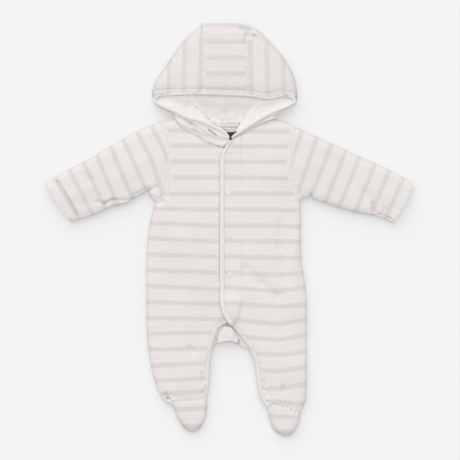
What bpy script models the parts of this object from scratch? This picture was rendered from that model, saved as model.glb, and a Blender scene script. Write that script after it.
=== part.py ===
"""A padded velour pramsuit for a baby, lying face up and flat.

It is modelled in its own frame: +X to the right and +Y towards the hood as seen from above, +Z up, and the
surface that it lies on at z = 0. All sizes below are millimetres. Left and right are as seen from above.

The back lies on the surface, the two fronts lie on the back, and every wall is velour, wadding and jersey in
one. The cloth rolls over at the garment's outline: each wall's height follows from how far a point is from that
outline.
"""

import bmesh
import bpy
import numpy as np
from mathutils import Vector
from mathutils.bvhtree import BVHTree

MM = 0.001

# Heights and thicknesses of the padded walls
SEAM_GAP = 0.3  # between two pieces
SOLE_GAP = 1.0  # between a sole and the back, where the outline turns sharply
SIDE_SEAM_Z = 9.0  # height of the side seams, where front and back meet
BODY_TOP = 18.5  # height of the fronts away from the edges
BODY_ROLL_TOP = 16.0  # height where the rolled edge ends
BODY_ROLL = 16.0  # width of the rolled edge
BODY_SPREAD = 60.0  # from here inwards the fronts are level
BACK_ROLL = 12.0  # width of the back's own rolled edge
FRONT_INSIDE = 2.0  # the fronts' inner face above the side seams' height
BACK_INSIDE = 1.5  # the back's inner face below that height
INSIDE_ROLL = 20.0
EDGE_WALL = 3.0  # thickness of a wall at the outline
EDGE_WALL_REACH = 8.0  # how far in from the outline that thickness is held
LEAST_WALL = 1.5
LAPPED_WALL = 2.5  # thickness of the right front where it lies over the left one
UNDERLAP_WALL = 2.2
ON_EDGE = 0.4  # a place this near to an outline lies on it
HOOD_SEAM_Z = 10.0
HOOD_TOP = 27.0
HOOD_ROLL_TOP = 23.0
HOOD_ROLL = 22.0
HOOD_BACK_ROLL = 14.0
HOOD_WALL = 6.0
SEAM_DIP = 2.2  # how deep a seam pulls the padding down
SEAM_WIDTH = 5.0
LAP_TOP = 13.1  # height of the underlap
BINDING_STEPS = (1.2, 4.0, 7.0)  # how far in from the edge the binding's section has its points
BINDING_IN, BINDING_OUT = 0.3, 1.4  # its two faces above the cloth
BINDING_DROP = 3.2  # how far it wraps down over the edge
HOOD_BINDING = (3.1, 3.8)  # half width and half height of the padded binding round the hood
BRIM_SETBACK = 2.9  # from the middle of that binding to the upper layer's edge
LINING_LOW, LINING_TOP = 6.4, 7.8  # the lining that lies on the hood's lower layer
FLAP_LOW, FLAP_CREASE, FLAP_EDGE = 8.4, 13.2, 18.8  # underside of the front corners, and their tops
STRIP_LOW = 10.8
TAPE_TOP = 7.6
LABEL_LOW, LABEL_TOP = 7.9, 8.4
FACING_CLEAR, FACING_THICK = 0.5, 0.9
CROTCH_DIP = 2.6  # the back's edge is thinner between the legs
LAP_END, UNDERLAP_END = -172.0, -167.0  # y where the fronts no longer lap
LEG_BINDING_TOP = -166.0  # y where the left leg's binding starts
LEG_START, LEG_BLEND = -150.0, 45.0  # y where the grids turn from the chest's columns to the leg's
TOP_ROWS = 0.12  # share of a front's height in which its columns follow the neck seam
POPPER_RADIUS = 5.2

# Outlines: x, y of the few points that each smooth line runs through
LINES = {
    "shoulder_left": ((-96, 195), (-121, 187), (-147, 178), (-188, 157), (-242, 125), (-282, 104),
                      (-323, 81)),
    "cuff_left": ((-323, 81), (-301, 46), (-278, 13)),
    "sleeve_under_left": ((-278, 13), (-261, 18), (-230, 28), (-209, 38), (-179, 46), (-161, 58),
                          (-144, 68)),
    "gusset_left": ((-144, 68), (-129, 47)),
    "armhole_left": ((-121, 187), (-112, 172), (-107, 151), (-105, 110), (-106, 75), (-115, 55),
                     (-129, 47)),
    "side_left": ((-129, 47), (-136, 24), (-140, 6), (-144, -36), (-145, -97), (-144, -185), (-140, -220),
                  (-134, -253), (-126, -277), (-119, -293)),
    "heel_left": ((-119, -293), (-112, -302), (-105, -304), (-101, -306)),
    "foot_outer_left": ((-101, -306), (-97, -318), (-88, -333), (-77, -346)),
    "toe_left": ((-77, -346), (-69, -353), (-62, -355), (-55, -351), (-48, -341)),
    "foot_inner_left": ((-48, -341), (-42, -328), (-39, -311), (-39, -287)),
    "leg_inner_left": ((-39, -287), (-36, -270), (-35, -249), (-33, -221), (-29, -203)),
    "crotch_left": ((-29, -203), (-21, -179), (-12, -164)),
    "underlap": ((-12, -164), (-2, -153), (7, -137), (12, -116), (12, 141)),
    "neck_left": ((-96, 195), (-86, 182), (-72, 172), (-56, 164), (-39, 153), (-25, 147), (-13, 143),
                  (12, 141)),
    "ankle_left": ((-101, -306), (-97, -298), (-76, -296), (-56, -295), (-39, -287)),
    "neck_right": ((2, 156), (12, 160), (34, 173), (54, 183), (78, 193)),
    "shoulder_right": ((78, 193), (98, 188), (117, 179), (143, 167), (189, 146), (234, 125), (281, 104),
                       (323, 81)),
    "cuff_right": ((323, 81), (308, 46), (287, 11)),
    "sleeve_under_right": ((287, 11), (273, 19), (250, 25), (215, 31), (189, 39), (159, 50), (139, 59)),
    "gusset_right": ((139, 59), (124, 49)),
    "armhole_right": ((117, 179), (111, 167), (108, 144), (106, 116), (109, 90), (116, 69), (124, 49)),
    "side_right": ((124, 49), (125, 25), (125, -22), (126, -53), (132, -92), (135, -116), (135, -202),
                   (135, -284),
                   (132, -304), (124, -321)),
    "foot_outer_right": ((124, -321), (123, -335), (117, -349)),
    "toe_right": ((117, -349), (109, -358), (101, -361.2), (91, -358), (77, -349)),
    "foot_inner_right": ((77, -349), (71, -333), (66, -312)),
    "ankle_right": ((66, -312), (75, -304), (91, -306), (108, -312), (124, -321)),
    "leg_inner_right": ((66, -312), (56, -297), (51, -277), (48, -255), (45, -233), (38, -213)),
    "crotch_right": ((38, -213), (19, -186), (3, -168)),
    "front_edge": ((3, -168), (-7, -153), (-13, -137), (-15, -118), (-15, 113), (-14, 129), (-7, 144),
                   (2, 156)),
    "crotch_hem_left": ((-29, -203), (-16, -199), (0, -196)),
    "crotch_hem_right": ((0, -196), (12, -200), (24, -206), (38, -213)),
    "back_neck_left": ((-96, 195), (-76, 187), (-42, 178), (0, 175)),
    "back_neck_right": ((0, 175), (36, 179), (61, 187), (78, 193)),
    "hood_left": ((-133, 230), (-135, 242), (-128, 262), (-107, 293), (-79, 331), (-46, 361)),
    "hood_crown": ((-46, 361), (-16, 361.4), (12, 360.8), (35, 357)),
    "hood_right": ((35, 357), (50, 349), (68, 332), (89, 309), (107, 283), (117, 255), (119, 230)),
    "brim_left": ((-133, 230), (-125, 235), (-69, 237), (-46, 237)),
    "brim_centre": ((-46, 237), (-11, 236), (34, 234)),
    "brim_right": ((34, 234), (68, 229), (92, 234), (119, 230)),
    "opening_left": ((-133, 230), (-131, 220), (-118, 212), (-93, 202), (-72, 192), (-53, 187), (-34, 179),
                     (-15, 170), (0, 158)),
    "opening_right": ((119, 230), (116, 220), (99, 211), (71, 199), (47, 185), (22, 169), (2, 156)),
    "crease_left": ((-84, 237), (-64, 231), (-53, 221), (-44, 207), (-37, 193), (-27, 184), (-17, 180),
                    (-10, 177)),
    "crease_right": ((72, 230), (42, 216), (29, 200), (20, 188), (14, 178), (11, 173.5)),
    "hood_edge": ((-5, 166.5), (-14, 173), (-33, 182), (-52, 190), (-71, 195), (-92, 205), (-116, 215),
                  (-128, 221.5), (-131, 228), (-124, 233.5), (-100, 236), (-69, 237), (-46, 237), (-11, 236),
                  (34, 234), (68, 229), (92, 233.5), (108, 232), (115, 227), (112, 221), (97, 213.5),
                  (69, 201.7), (45, 187.6), (20, 171.7), (7, 162.5)),
    "shoulder_part_left": ((-96, 195), (-108, 191), (-121, 187)),
    "shoulder_part_right": ((78, 193), (98, 188), (117, 179)),
    "hood_seam_left": ((-46, 361), (-47, 314), (-46, 237)),
    "hood_seam_right": ((35, 357), (32, 323), (31, 279), (34, 234)),
}

# Main folds. x0, y0, x1, y1: the fold's line. width: how far it reaches. height: above the cloth, or below it
# if less than nothing.
FOLDS = (
    (-246, 92, -222, 78, 9, -2.6),
    (-262, 60, -248, 92, 14, 1.6),
    (-231, 48, -212, 44, 4, -4.0),
    (-212, 44, -190, 52, 4, -3.6),
    (-190, 52, -175, 50, 4, -2.4),
    (-301, 84, -263, 22, 4, -3.0),
    (251, 50, 253, 30, 5, -4.5),
    (271, 22, 273, 38, 5, -3.0),
    (205, 92, 240, 60, 13, -1.8),
    (19, -80, 57, -97, 10, -2.4),
    (57, -97, 88, -124, 10, -2.8),
    (88, -124, 97, -176, 11, -2.2),
    (92, 20, 96, -80, 9, -1.7),
    (112, -40, 114, -150, 7, 1.3),
    (-70, -205, -62, -216, 4, -3.2),
    (-46, -252, -44, -264, 4, -2.8),
    (-120, 52, -100, 30, 5, -2.4),
    (-112, 36, -96, 12, 6, 1.2),
    (60, -268, 66, -290, 5, -2.4),
    (-112, -286, -96, -292, 4, -2.6),
    (-24, 352, 36, 340, 5, -2.4),
    (36, 344, 60, 334, 6, -2.0),
)

# Poppers down the front edge. x, y
POPPERS = ((1.5, 137), (-1.5, 64), (1, -10), (2, -79), (4, -143), (38, -201), (65, -274))

COLOURS = {  # name: red, green, blue of the sRGB colour
    "velour": (232, 228, 225),
    "jersey": (234, 229, 225),
    "binding": (235, 232, 229),
    "popper": (232, 228, 231),
    "label": (62, 70, 64),
}


def linear(value):
    """One sRGB value, 0 to 255, as linear light."""
    value = value / 255
    return value / 12.92 if value <= 0.04045 else ((value + 0.055) / 1.055) ** 2.4


def material(name, roughness):
    """A plain Principled material in one of the garment's colours."""
    made = bpy.data.materials.get(name) or bpy.data.materials.new(name)
    made.use_nodes = True
    shader = made.node_tree.nodes["Principled BSDF"]
    colour = [linear(value) for value in COLOURS[name]] + [1.0]
    shader.inputs["Base Color"].default_value = colour
    shader.inputs["Roughness"].default_value = roughness
    shader.inputs["Metallic"].default_value = 0.0
    made.diffuse_color = colour
    return made


def smooth(value):
    """0 to 1 as the value goes from 0 to 1, level at both ends."""
    value = np.clip(value, 0.0, 1.0)
    return value * value * (3 - 2 * value)


def roll(value):
    """A quarter of a rounded edge: upright at 0, level at 1."""
    return np.sqrt(1 - (1 - np.clip(value, 0.0, 1.0)) ** 2)


def spline(points, steps=12):
    """A smooth line through the points, as a dense list of places."""
    points = np.array(points, float)
    if len(points) == 2:
        return points[0] + (points[1] - points[0]) * np.linspace(0, 1, steps + 1)[:, None]
    ends = np.vstack([2 * points[0] - points[1], points, 2 * points[-1] - points[-2]])
    t = np.linspace(0, 1, steps, endpoint=False)[:, None]
    parts = []
    for a, b, c, d in zip(ends, ends[1:], ends[2:], ends[3:]):
        chord = max(np.linalg.norm(c - b), 1e-9)
        into = (c - a) * chord / (np.linalg.norm(c - b) + max(np.linalg.norm(b - a), 1e-9))
        out = (d - b) * chord / (np.linalg.norm(c - b) + max(np.linalg.norm(d - c), 1e-9))
        parts.append((2 * t**3 - 3 * t**2 + 1) * b + (t**3 - 2 * t**2 + t) * into
                     + (3 * t**2 - 2 * t**3) * c + (t**3 - t**2) * out)
    return np.vstack(parts + [points[-1:]])


def line(*names):
    """Named lines end to end. A name that starts with a minus runs backwards."""
    parts = []
    for name in names:
        dense = spline(LINES[name.lstrip("-")])
        parts.append(dense[::-1] if name.startswith("-") else dense)
        if len(parts) > 1:
            parts[-1] = parts[-1][1:]
    return np.vstack(parts)


def along(dense, shares):
    """Places on a line at shares of its length."""
    steps = np.linalg.norm(np.diff(dense, axis=0), axis=1)
    run = np.concatenate([[0], np.cumsum(steps)]) / steps.sum()
    return np.stack([np.interp(shares, run, dense[:, i]) for i in (0, 1)], axis=1)


def down(dense, shares):
    """Places on a line at shares of its height, from its highest end to its lowest."""
    y = dense[0, 1] + (dense[-1, 1] - dense[0, 1]) * np.asarray(shares)
    order = np.argsort(dense[:, 1])
    return np.stack([np.interp(y, dense[order, 1], dense[order, 0]), y], axis=1)


def share_of_run(dense):
    """How far along a line each of its points is, from 0 to 1."""
    run = np.concatenate([[0], np.cumsum(np.linalg.norm(np.diff(dense, axis=0), axis=1))])
    return run / run[-1]


def patch(top, bottom, left, right, fade=1):
    """Fills four edges with a grid of places.

    Top and bottom run left to right, left and right top to bottom. A higher fade keeps the shape of the left
    and right edges nearer to them.
    """
    u, v = share_of_run(top)[None, :, None], share_of_run(left)[:, None, None]
    ruled = (1 - v) * top[None] + v * bottom[None]
    bulge_left = left[:, None] - ((1 - v) * top[0] + v * bottom[0])
    bulge_right = right[:, None] - ((1 - v) * top[-1] + v * bottom[-1])
    return ruled + (1 - u) ** fade * bulge_left + u**fade * bulge_right


def nearest(points, dense):
    """How far each place is from a line, and the smoothed direction to the line's left-hand side."""
    a, b = dense[:-1], dense[1:]
    keep = np.linalg.norm(b - a, axis=1) > 1e-6
    a, b = a[keep], b[keep]
    step = b - a
    flat = points.reshape(-1, 2)
    away = flat[:, None] - a[None]
    share = np.clip((away * step).sum(2) / (step * step).sum(1), 0, 1)
    distance = np.linalg.norm(away - share[..., None] * step, axis=2)
    least = distance.min(axis=1)
    weight = np.exp(-(distance - least[:, None]) / 2.0)
    inward = np.stack([-step[:, 1], step[:, 0]], axis=1) / np.linalg.norm(step, axis=1)[:, None]
    direction = weight @ inward
    direction /= np.linalg.norm(direction, axis=1)[:, None] + 1e-9
    return least.reshape(points.shape[:-1]), direction.reshape(points.shape)


# The outline runs with the garment on its left-hand side, so that inward is to the left
OUTLINES = {
    "left": line("shoulder_left"),
    "left_lower": line("sleeve_under_left", "gusset_left", "side_left", "heel_left", "foot_outer_left",
                       "toe_left", "foot_inner_left", "leg_inner_left", "crotch_left"),
    "right": line("shoulder_right")[::-1],
    "right_lower": line("-crotch_right", "-leg_inner_right", "-foot_inner_right", "-toe_right",
                        "-foot_outer_right", "-side_right", "-gusset_right", "-sleeve_under_right"),
    "left_back": line("sleeve_under_left", "gusset_left", "side_left", "heel_left", "foot_outer_left",
                      "toe_left", "foot_inner_left", "leg_inner_left"),
    "right_back": line("-leg_inner_right", "-foot_inner_right", "-toe_right", "-foot_outer_right",
                       "-side_right", "-gusset_right", "-sleeve_under_right"),
    "crotch_hem": line("crotch_hem_left", "crotch_hem_right"),
    "hood": line("-hood_right", "-hood_crown", "-hood_left"),
}
SEAMS = {
    "left": ("armhole_left", "neck_left", "ankle_left"),
    "right": ("armhole_right", "neck_right", "ankle_right"),
    "hood": ("hood_seam_left", "hood_seam_right"),
}


def edge_field(points, names):
    """Distance to the nearest of the named outlines and the direction inward from it."""
    distance = np.full(points.shape[:-1], 1e9)
    direction = np.zeros(points.shape)
    for name in names:
        d, way = nearest(points, OUTLINES[name])
        nearer = d < distance
        distance = np.where(nearer, d, distance)
        direction = np.where(nearer[..., None], way, direction)
    return np.where(distance < ON_EDGE, 0.0, distance), direction


def folds_at(points):
    """Height that the folds add."""
    total = np.zeros(points.shape[:-1])
    for x0, y0, x1, y1, width, height in FOLDS:
        a, step = np.array([x0, y0], float), np.array([x1 - x0, y1 - y0], float)
        share = np.clip(((points - a) @ step) / (step @ step), 0, 1)
        distance = np.linalg.norm(points - a - share[..., None] * step, axis=-1)
        total += height * np.exp(-((distance / width) ** 2))
    return total


def seam_dip(points, names):
    """0 away from the seams, 1 on them."""
    total = np.zeros(points.shape[:-1])
    for name in names:
        distance, _ = nearest(points, spline(LINES[name]))
        total = np.maximum(total, np.exp(-((distance / SEAM_WIDTH) ** 2)))
    return total


def with_z(points, z):
    return np.concatenate([points, np.broadcast_to(z, points.shape[:-1])[..., None]], axis=-1)


def upper(points, side):
    """Outer and inner faces of a wall of the garment's upper side."""
    distance, inward = edge_field(points, (side, side + "_lower"))
    rise = roll(distance / BODY_ROLL)
    level = BODY_ROLL_TOP + (BODY_TOP - BODY_ROLL_TOP) * smooth((distance - BODY_ROLL / 2) / BODY_SPREAD)
    outer = SIDE_SEAM_Z + (level - SIDE_SEAM_Z) * rise
    outer += folds_at(points) * smooth(distance / 10)
    outer -= SEAM_DIP * seam_dip(points, SEAMS[side]) * smooth(distance / 12)
    outer = np.maximum(outer, SIDE_SEAM_Z)
    inner = SIDE_SEAM_Z + FRONT_INSIDE * smooth(distance / INSIDE_ROLL)
    inner = np.minimum(inner, outer - LEAST_WALL * smooth(distance / 3))
    shift = EDGE_WALL * np.exp(-distance / EDGE_WALL_REACH)
    return with_z(points, outer), with_z(points + inward * shift[..., None], np.maximum(inner, SIDE_SEAM_Z))


def lower(points, names):
    """Outer and inner faces of a wall that lies on the surface."""
    distance, inward = edge_field(points, names)
    from_hem, _ = nearest(points, OUTLINES["crotch_hem"])
    edge = SIDE_SEAM_Z - CROTCH_DIP * np.exp(-((from_hem / 25) ** 2))
    outer = edge - edge * roll(distance / BACK_ROLL)
    inner = edge + (SIDE_SEAM_Z - BACK_INSIDE - edge) * smooth(distance / INSIDE_ROLL)
    shift = EDGE_WALL * np.exp(-distance / EDGE_WALL_REACH)
    return with_z(points, outer), with_z(points + inward * shift[..., None], inner)


def hood_upper(points):
    """Outer and inner faces of the hood's upper layer."""
    distance, inward = edge_field(points, ("hood",))
    level = HOOD_ROLL_TOP + (HOOD_TOP - HOOD_ROLL_TOP) * smooth((distance - HOOD_ROLL / 2) / 60)
    outer = HOOD_SEAM_Z + (level - HOOD_SEAM_Z) * roll(distance / HOOD_ROLL)
    outer += folds_at(points) * smooth(distance / 8)
    outer -= SEAM_DIP * seam_dip(points, SEAMS["hood"]) * smooth(distance / 12)
    outer = np.maximum(outer, HOOD_SEAM_Z)
    inner = HOOD_SEAM_Z + (level - HOOD_WALL - HOOD_SEAM_Z) * smooth(distance / (HOOD_ROLL + 6))
    inner = np.minimum(inner, outer - LEAST_WALL * smooth(distance / 3))
    shift = EDGE_WALL * np.exp(-distance / EDGE_WALL_REACH)
    return with_z(points, outer), with_z(points + inward * shift[..., None], np.maximum(inner, HOOD_SEAM_Z))


def hood_lower(points):
    """Outer and inner faces of the hood's layer on the surface."""
    distance, inward = edge_field(points, ("hood",))
    outer = HOOD_SEAM_Z - HOOD_SEAM_Z * roll(distance / HOOD_BACK_ROLL)
    inner = HOOD_SEAM_Z - (HOOD_SEAM_Z - HOOD_WALL) * smooth(distance / HOOD_BACK_ROLL)
    shift = EDGE_WALL * np.exp(-distance / EDGE_WALL_REACH)
    return with_z(points, outer), with_z(points + inward * shift[..., None], inner)


def shell(name, faces_pairs, finish, roughness=0.9):
    """One closed wall from pairs of outer and inner grids. Grids that meet share their points there."""
    bm = bmesh.new()
    found = {}

    def vertex(layer, place):
        key = (layer,) + tuple(np.round(place / 0.02).astype(int))
        if key not in found:
            found[key] = bm.verts.new((place * MM).tolist())
        return found[key]

    for outer, inner in faces_pairs:
        rows, columns = outer.shape[:2]
        grid = [[(vertex(0, outer[r, c]), r, c) for c in range(columns)] for r in range(rows)]
        mate = {}
        for r in range(rows):
            for c in range(columns):
                key = (1,) + tuple(np.round(outer[r, c] / 0.02).astype(int))
                if key not in found:
                    found[key] = bm.verts.new((inner[r, c] * MM).tolist())
                mate[r, c] = found[key]
        for r in range(rows - 1):
            for c in range(columns - 1):
                ring = [(r, c), (r, c + 1), (r + 1, c + 1), (r + 1, c)]
                out = list(dict.fromkeys(grid[i][j][0] for i, j in ring))
                back = list(dict.fromkeys(mate[i, j] for i, j in ring))
                if len(out) > 2:
                    bm.faces.new(out).material_index = 0
                    bm.faces.new(back[::-1]).material_index = 0
    outer_of = {found[(1,) + key[1:]]: found[key] for key in list(found) if key[0] == 0}
    inner_of = {out: inside for inside, out in outer_of.items()}
    rim = [edge for edge in bm.edges if edge.is_boundary and edge.verts[0] in inner_of]
    for edge in rim:
        a, b = edge.verts
        bm.faces.new((a, b, inner_of[b], inner_of[a]))
    bmesh.ops.triangulate(bm, faces=bm.faces[:], quad_method="SHORT_EDGE")
    bmesh.ops.recalc_face_normals(bm, faces=bm.faces[:])
    return add_mesh(name, bm, finish, roughness)


def add_mesh(name, bm, finish, roughness):
    mesh = bpy.data.meshes.new(name)
    if bm.calc_volume(signed=True) < 0:
        bmesh.ops.reverse_faces(bm, faces=bm.faces[:])
    bm.to_mesh(mesh)
    bm.free()
    mesh.materials.append(material(finish, roughness))
    mesh.shade_smooth()
    made = bpy.data.objects.new(name, mesh)
    bpy.data.collections["pramsuit"].objects.link(made)
    return made


def pull_in(grid, row=None, column=None, by=SEAM_GAP / 2):
    """Moves one edge row or column of a grid square to itself, inwards, which leaves a seam's gap."""
    grid = grid.copy()
    if column is not None:
        grid = np.swapaxes(grid, 0, 1)
        row = column
    edge, other = (grid[0], grid[1]) if row == 0 else (grid[-1], grid[-2])
    run = np.gradient(edge, axis=0)
    square = np.stack([-run[:, 1], run[:, 0]], axis=1)
    square /= np.linalg.norm(square, axis=1)[:, None] + 1e-9
    square *= np.sign(((other - edge) * square).sum(1).mean())
    grid[row] = edge + square * by
    return np.swapaxes(grid, 0, 1) if column is not None else grid


def lift(pair, low):
    """Keeps both faces of a wall above a height."""
    return tuple(np.concatenate([face[..., :2], np.maximum(face[..., 2:], low)], axis=2) for face in pair)


def press(pair, high):
    """Keeps both faces of a wall under a height."""
    return tuple(np.concatenate([face[..., :2], np.minimum(face[..., 2:], high)], axis=2) for face in pair)


# Shares of a panel's width or length where its grid has lines: closer near a rolled edge
BOTH_ROLLED = np.array([0, 0.02, 0.07, 0.15, 0.27, 0.42, 0.58, 0.73, 0.85, 0.93, 0.98, 1])
LEG = np.array([0, 0.02, 0.06, 0.13, 0.22, 0.34, 0.5, 0.64, 0.76, 0.86, 0.93, 0.98, 1])
BACK_LEG = np.array([0, 0.03, 0.11, 0.24, 0.42, 0.62, 0.8, 0.94, 1])
LEFT_CHEST = np.array([0, 0.014, 0.045, 0.1, 0.19, 0.33, 0.5, 0.66, 0.74, 0.79, 0.815, 0.85, 1])
RIGHT_CHEST = np.array([0, 0, 0, 0, 0.13, 0.2, 0.3, 0.46, 0.65, 0.81, 0.91, 0.96, 0.987, 1])
RIGHT_LEG = np.array([0, 0, 0, 0, 0.14, 0.26, 0.42, 0.58, 0.73, 0.85, 0.93, 0.98, 0.994, 1])


def panel(top, bottom, left, right, shares):
    """A grid whose rows have their points at their own shares of the width."""
    fine = np.unique(np.concatenate([np.linspace(0, 1, 101), shares[0], shares[-1]]))
    dense = patch(along(top, fine), along(bottom, fine), left, right)
    rows = [np.stack([np.interp(share, fine, row[:, i]) for i in (0, 1)], axis=1)
            for row, share in zip(dense, shares)]
    return np.array(rows)


def down_side(side, count):
    """Places down a garment's side: the armhole's own, then the side seam's."""
    lower_part = line("side_left", "heel_left") if side == "left" else line("side_right")
    steps = np.concatenate([[0, 0.012, 0.035], np.linspace(0.07, 0.96, count), [1]])
    return np.vstack([along(line("armhole_" + side), BOTH_ROLLED), along(lower_part, steps)[1:]])


def share_of_drop(points):
    return (points[0, 1] - points[:, 1]) / (points[0, 1] - points[-1, 1])


def neck_places(side):
    """Places along the shoulder and the neck seam, for the fronts' top edges."""
    if side == "left":
        return np.vstack([along(line("-shoulder_part_left"), [0, 0.2, 0.5, 1]),
                          along(line("neck_left"), [0.08, 0.2, 0.32, 0.44, 0.56, 0.68, 0.8, 0.9, 1])])
    neck = along(line("neck_right"), [0, 0.014, 0.045, 0.08, 0.2, 0.35, 0.5, 0.65, 0.82, 1])
    return np.vstack([neck, along(line("shoulder_part_right"), [0.25, 0.5, 0.75, 1])])


def front_grid(side):
    """The left or right front as a grid of places, down from the shoulder to the ankle."""
    outer_side = down_side(side, 19)
    rows = share_of_drop(outer_side)
    top = neck_places(side)
    if side == "left":
        inner_side = down(line("-underlap", "-crotch_left", "-leg_inner_left"), rows)
        left, right, ankle, chest, leg = outer_side, inner_side, line("ankle_left"), LEFT_CHEST, LEG
    else:
        inner_side = down(line("-front_edge", "-crotch_right", "-leg_inner_right"), rows)
        left, right, ankle, chest, leg = inner_side, outer_side, line("ankle_right"), RIGHT_CHEST, RIGHT_LEG
    shares = []
    for row, (a, b) in enumerate(zip(left, right)):
        width = np.linalg.norm(b - a)
        bound = np.zeros(len(chest))
        if side == "right":
            bound[1:4] = np.array(BINDING_STEPS) / width
        share = chest + (leg - chest) * smooth((LEG_START - inner_side[row, 1]) / LEG_BLEND) + bound
        share = share_of_run(top) + (share - share_of_run(top)) * smooth(rows[row] / TOP_ROWS)
        shares.append(share)
    bottom = bound + leg if side == "right" else leg
    shares[-1] = bottom
    return panel(top, ankle, left, right, shares)


def x_by_height(y, *names):
    """A line's x at given heights."""
    dense = line(*names)
    order = np.argsort(dense[:, 1])
    return np.interp(y, dense[order, 1], dense[order, 0])


def left_outer(points):
    """The left front's outer face, pressed flat where the right front laps over it."""
    outer, inner = upper(points, "left")
    past = points[..., 0] - x_by_height(points[..., 1], "-front_edge", "-crotch_right")
    reach = 3 + 9 * smooth((-125 - points[..., 1]) / 25)
    lapped = smooth((past + 11 + reach) / 11) * (points[..., 1] > LAP_END)
    outer[..., 2] += (LAP_TOP - outer[..., 2]) * lapped * (outer[..., 2] > LAP_TOP)
    return outer, inner


def under_lap(points):
    """Height of the left front's outer face, or the side seams' height where it has none."""
    past = x_by_height(points[..., 1], "-underlap") - points[..., 0]
    inside = smooth((past + 14) / 7) * (points[..., 1] > UNDERLAP_END)
    clear = 2 * SEAM_GAP + 1.8 * smooth((-112 - points[..., 1]) / 12)
    return SIDE_SEAM_Z + (left_outer(points)[0][..., 2] + clear - SIDE_SEAM_Z) * inside


def front_left_faces():
    grid = pull_in(pull_in(front_grid("left"), row=0), row=-1)
    outer, inner = left_outer(grid)
    thick = UNDERLAP_WALL * smooth(edge_field(grid, ("left_lower",))[0] / 4)
    inner[..., 2] = np.minimum(inner[..., 2], outer[..., 2] - thick)
    return lift((outer, inner), SIDE_SEAM_Z + SEAM_GAP / 2)


def right_faces(points):
    """The right front's outer and inner faces, raised over the left front where they lap."""
    outer, inner = upper(points, "right")
    over = under_lap(inner[..., :2])
    inner[..., 2] = np.maximum(inner[..., 2], over)
    wall = LAPPED_WALL * smooth((over - SIDE_SEAM_Z) / 2)
    outer[..., 2] = np.maximum(outer[..., 2], inner[..., 2] + wall)
    return outer, inner


def front_right_faces():
    grid = pull_in(pull_in(front_grid("right"), row=0), row=-1)
    return lift(right_faces(grid), SIDE_SEAM_Z + SEAM_GAP / 2)


def normals_of(grid):
    """A unit normal at each point of a grid of places in space, pointing up."""
    along_rows = np.gradient(grid, axis=0)
    along_columns = np.gradient(grid, axis=1)
    normal = np.cross(along_columns, along_rows)
    normal /= np.linalg.norm(normal, axis=2)[..., None] + 1e-9
    return normal * np.sign(normal[..., 2:] + 1e-9)


def edge_binding(name, cloth, floor):
    """A binding over the cloth's first columns, wrapped down over its edge.

    cloth: grid of places, edge first. floor: what the wrap stays above, one height a row.
    """
    normal = normals_of(cloth)
    out = cloth[:, 0, :2] - cloth[:, 1, :2]
    out /= np.linalg.norm(out, axis=1)[:, None]
    faces = []
    for rise in (BINDING_OUT, BINDING_IN):
        edge = cloth[:, 0, :2] + out * rise
        top = with_z(edge, cloth[:, 0, 2] + (rise if rise == BINDING_IN else 0.75 * rise))
        hem = with_z(edge, np.maximum(cloth[:, 0, 2] - BINDING_DROP, floor + 0.1))
        lifted = cloth[:, 1:] + normal[:, 1:] * rise
        faces.append(np.concatenate([hem[:, None], top[:, None], lifted], axis=1))
    shell(name, [tuple(faces)], "binding")


def make_fronts():
    left, right = front_left_faces(), front_right_faces()
    shell("front_left", [left], "velour")
    shell("front_right", [right], "velour")
    cloth = right[0][2:, :4]
    edge_binding("binding_front", cloth, under_lap(cloth[:, 0, :2] - np.array([BINDING_OUT, 0])))
    cloth = left[0][:, ::-1][:, :3]
    start = np.argmax(cloth[:, 0, 1] < LEG_BINDING_TOP)
    edge_binding("binding_leg_left", cloth[start:], np.full(len(cloth) - start, SIDE_SEAM_Z))


def back_top(side):
    """Places along the back's top edge, from the armhole to the middle."""
    shoulder = line("-shoulder_part_" + side)
    neck = line("back_neck_left") if side == "left" else line("-back_neck_right")
    by_neck = along(neck, [0.1, 0.24, 0.4, 0.6, 0.7, 0.8, 0.9, 1])
    return np.vstack([along(shoulder, [0, 0.08, 0.25, 0.55, 1]), by_neck])


def back_side(side):
    """Places down the back's side: to the height of the crotch, and on to the ankle."""
    lower_part = line("side_left", "heel_left") if side == "left" else line("side_right")
    crotch = LINES["leg_inner_" + side][-1][1]
    y = lower_part[:, 1]
    split = np.argmin(abs(y - crotch))
    armhole = along(line("armhole_" + side), BOTH_ROLLED)
    body = along(lower_part[: split + 1], np.linspace(0, 1, 10))
    leg = along(lower_part[split:], [0, 0.2, 0.42, 0.64, 0.84, 1])
    return np.vstack([armhole, body[1:]]), leg


def make_back():
    names = ("left", "left_back", "right", "right_back", "crotch_hem")
    sides = {side: back_side(side) for side in ("left", "right")}
    middle_rows = np.mean([share_of_drop(body) for body, leg in sides.values()], axis=0)
    centre = down(np.array([[0, 175], [0, -196]], float), middle_rows)
    pairs = []
    for side, (body, leg) in sides.items():
        rows, leg_rows = share_of_drop(body), share_of_drop(leg)
        top = back_top(side)
        crotch = np.array(LINES["leg_inner_" + side][-1], float)
        waist = np.vstack([body[-1], crotch])
        hem = line("crotch_hem_left") if side == "left" else line("-crotch_hem_right")
        middle = down(np.vstack([top[8], crotch]), rows)
        blend = smooth(rows / 0.2)[:, None]
        shares = share_of_run(top[:9]) * (1 - blend) + BACK_LEG * blend
        pairs.append(panel(top[:9], waist, body, middle, shares))
        pairs.append(patch(top[8:], along(hem, [0, 0.25, 0.5, 0.75, 1]), middle, centre))
        ankle = line("ankle_left") if side == "left" else line("-ankle_right")
        inner = down(line("-leg_inner_" + side), leg_rows)
        pairs.append(pull_in(panel(waist, ankle, leg, inner, [BACK_LEG] * len(leg_rows)), row=-1))
    shell("back", [press(lower(grid, names), SIDE_SEAM_Z - SEAM_GAP / 2) for grid in pairs], "velour")


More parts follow.
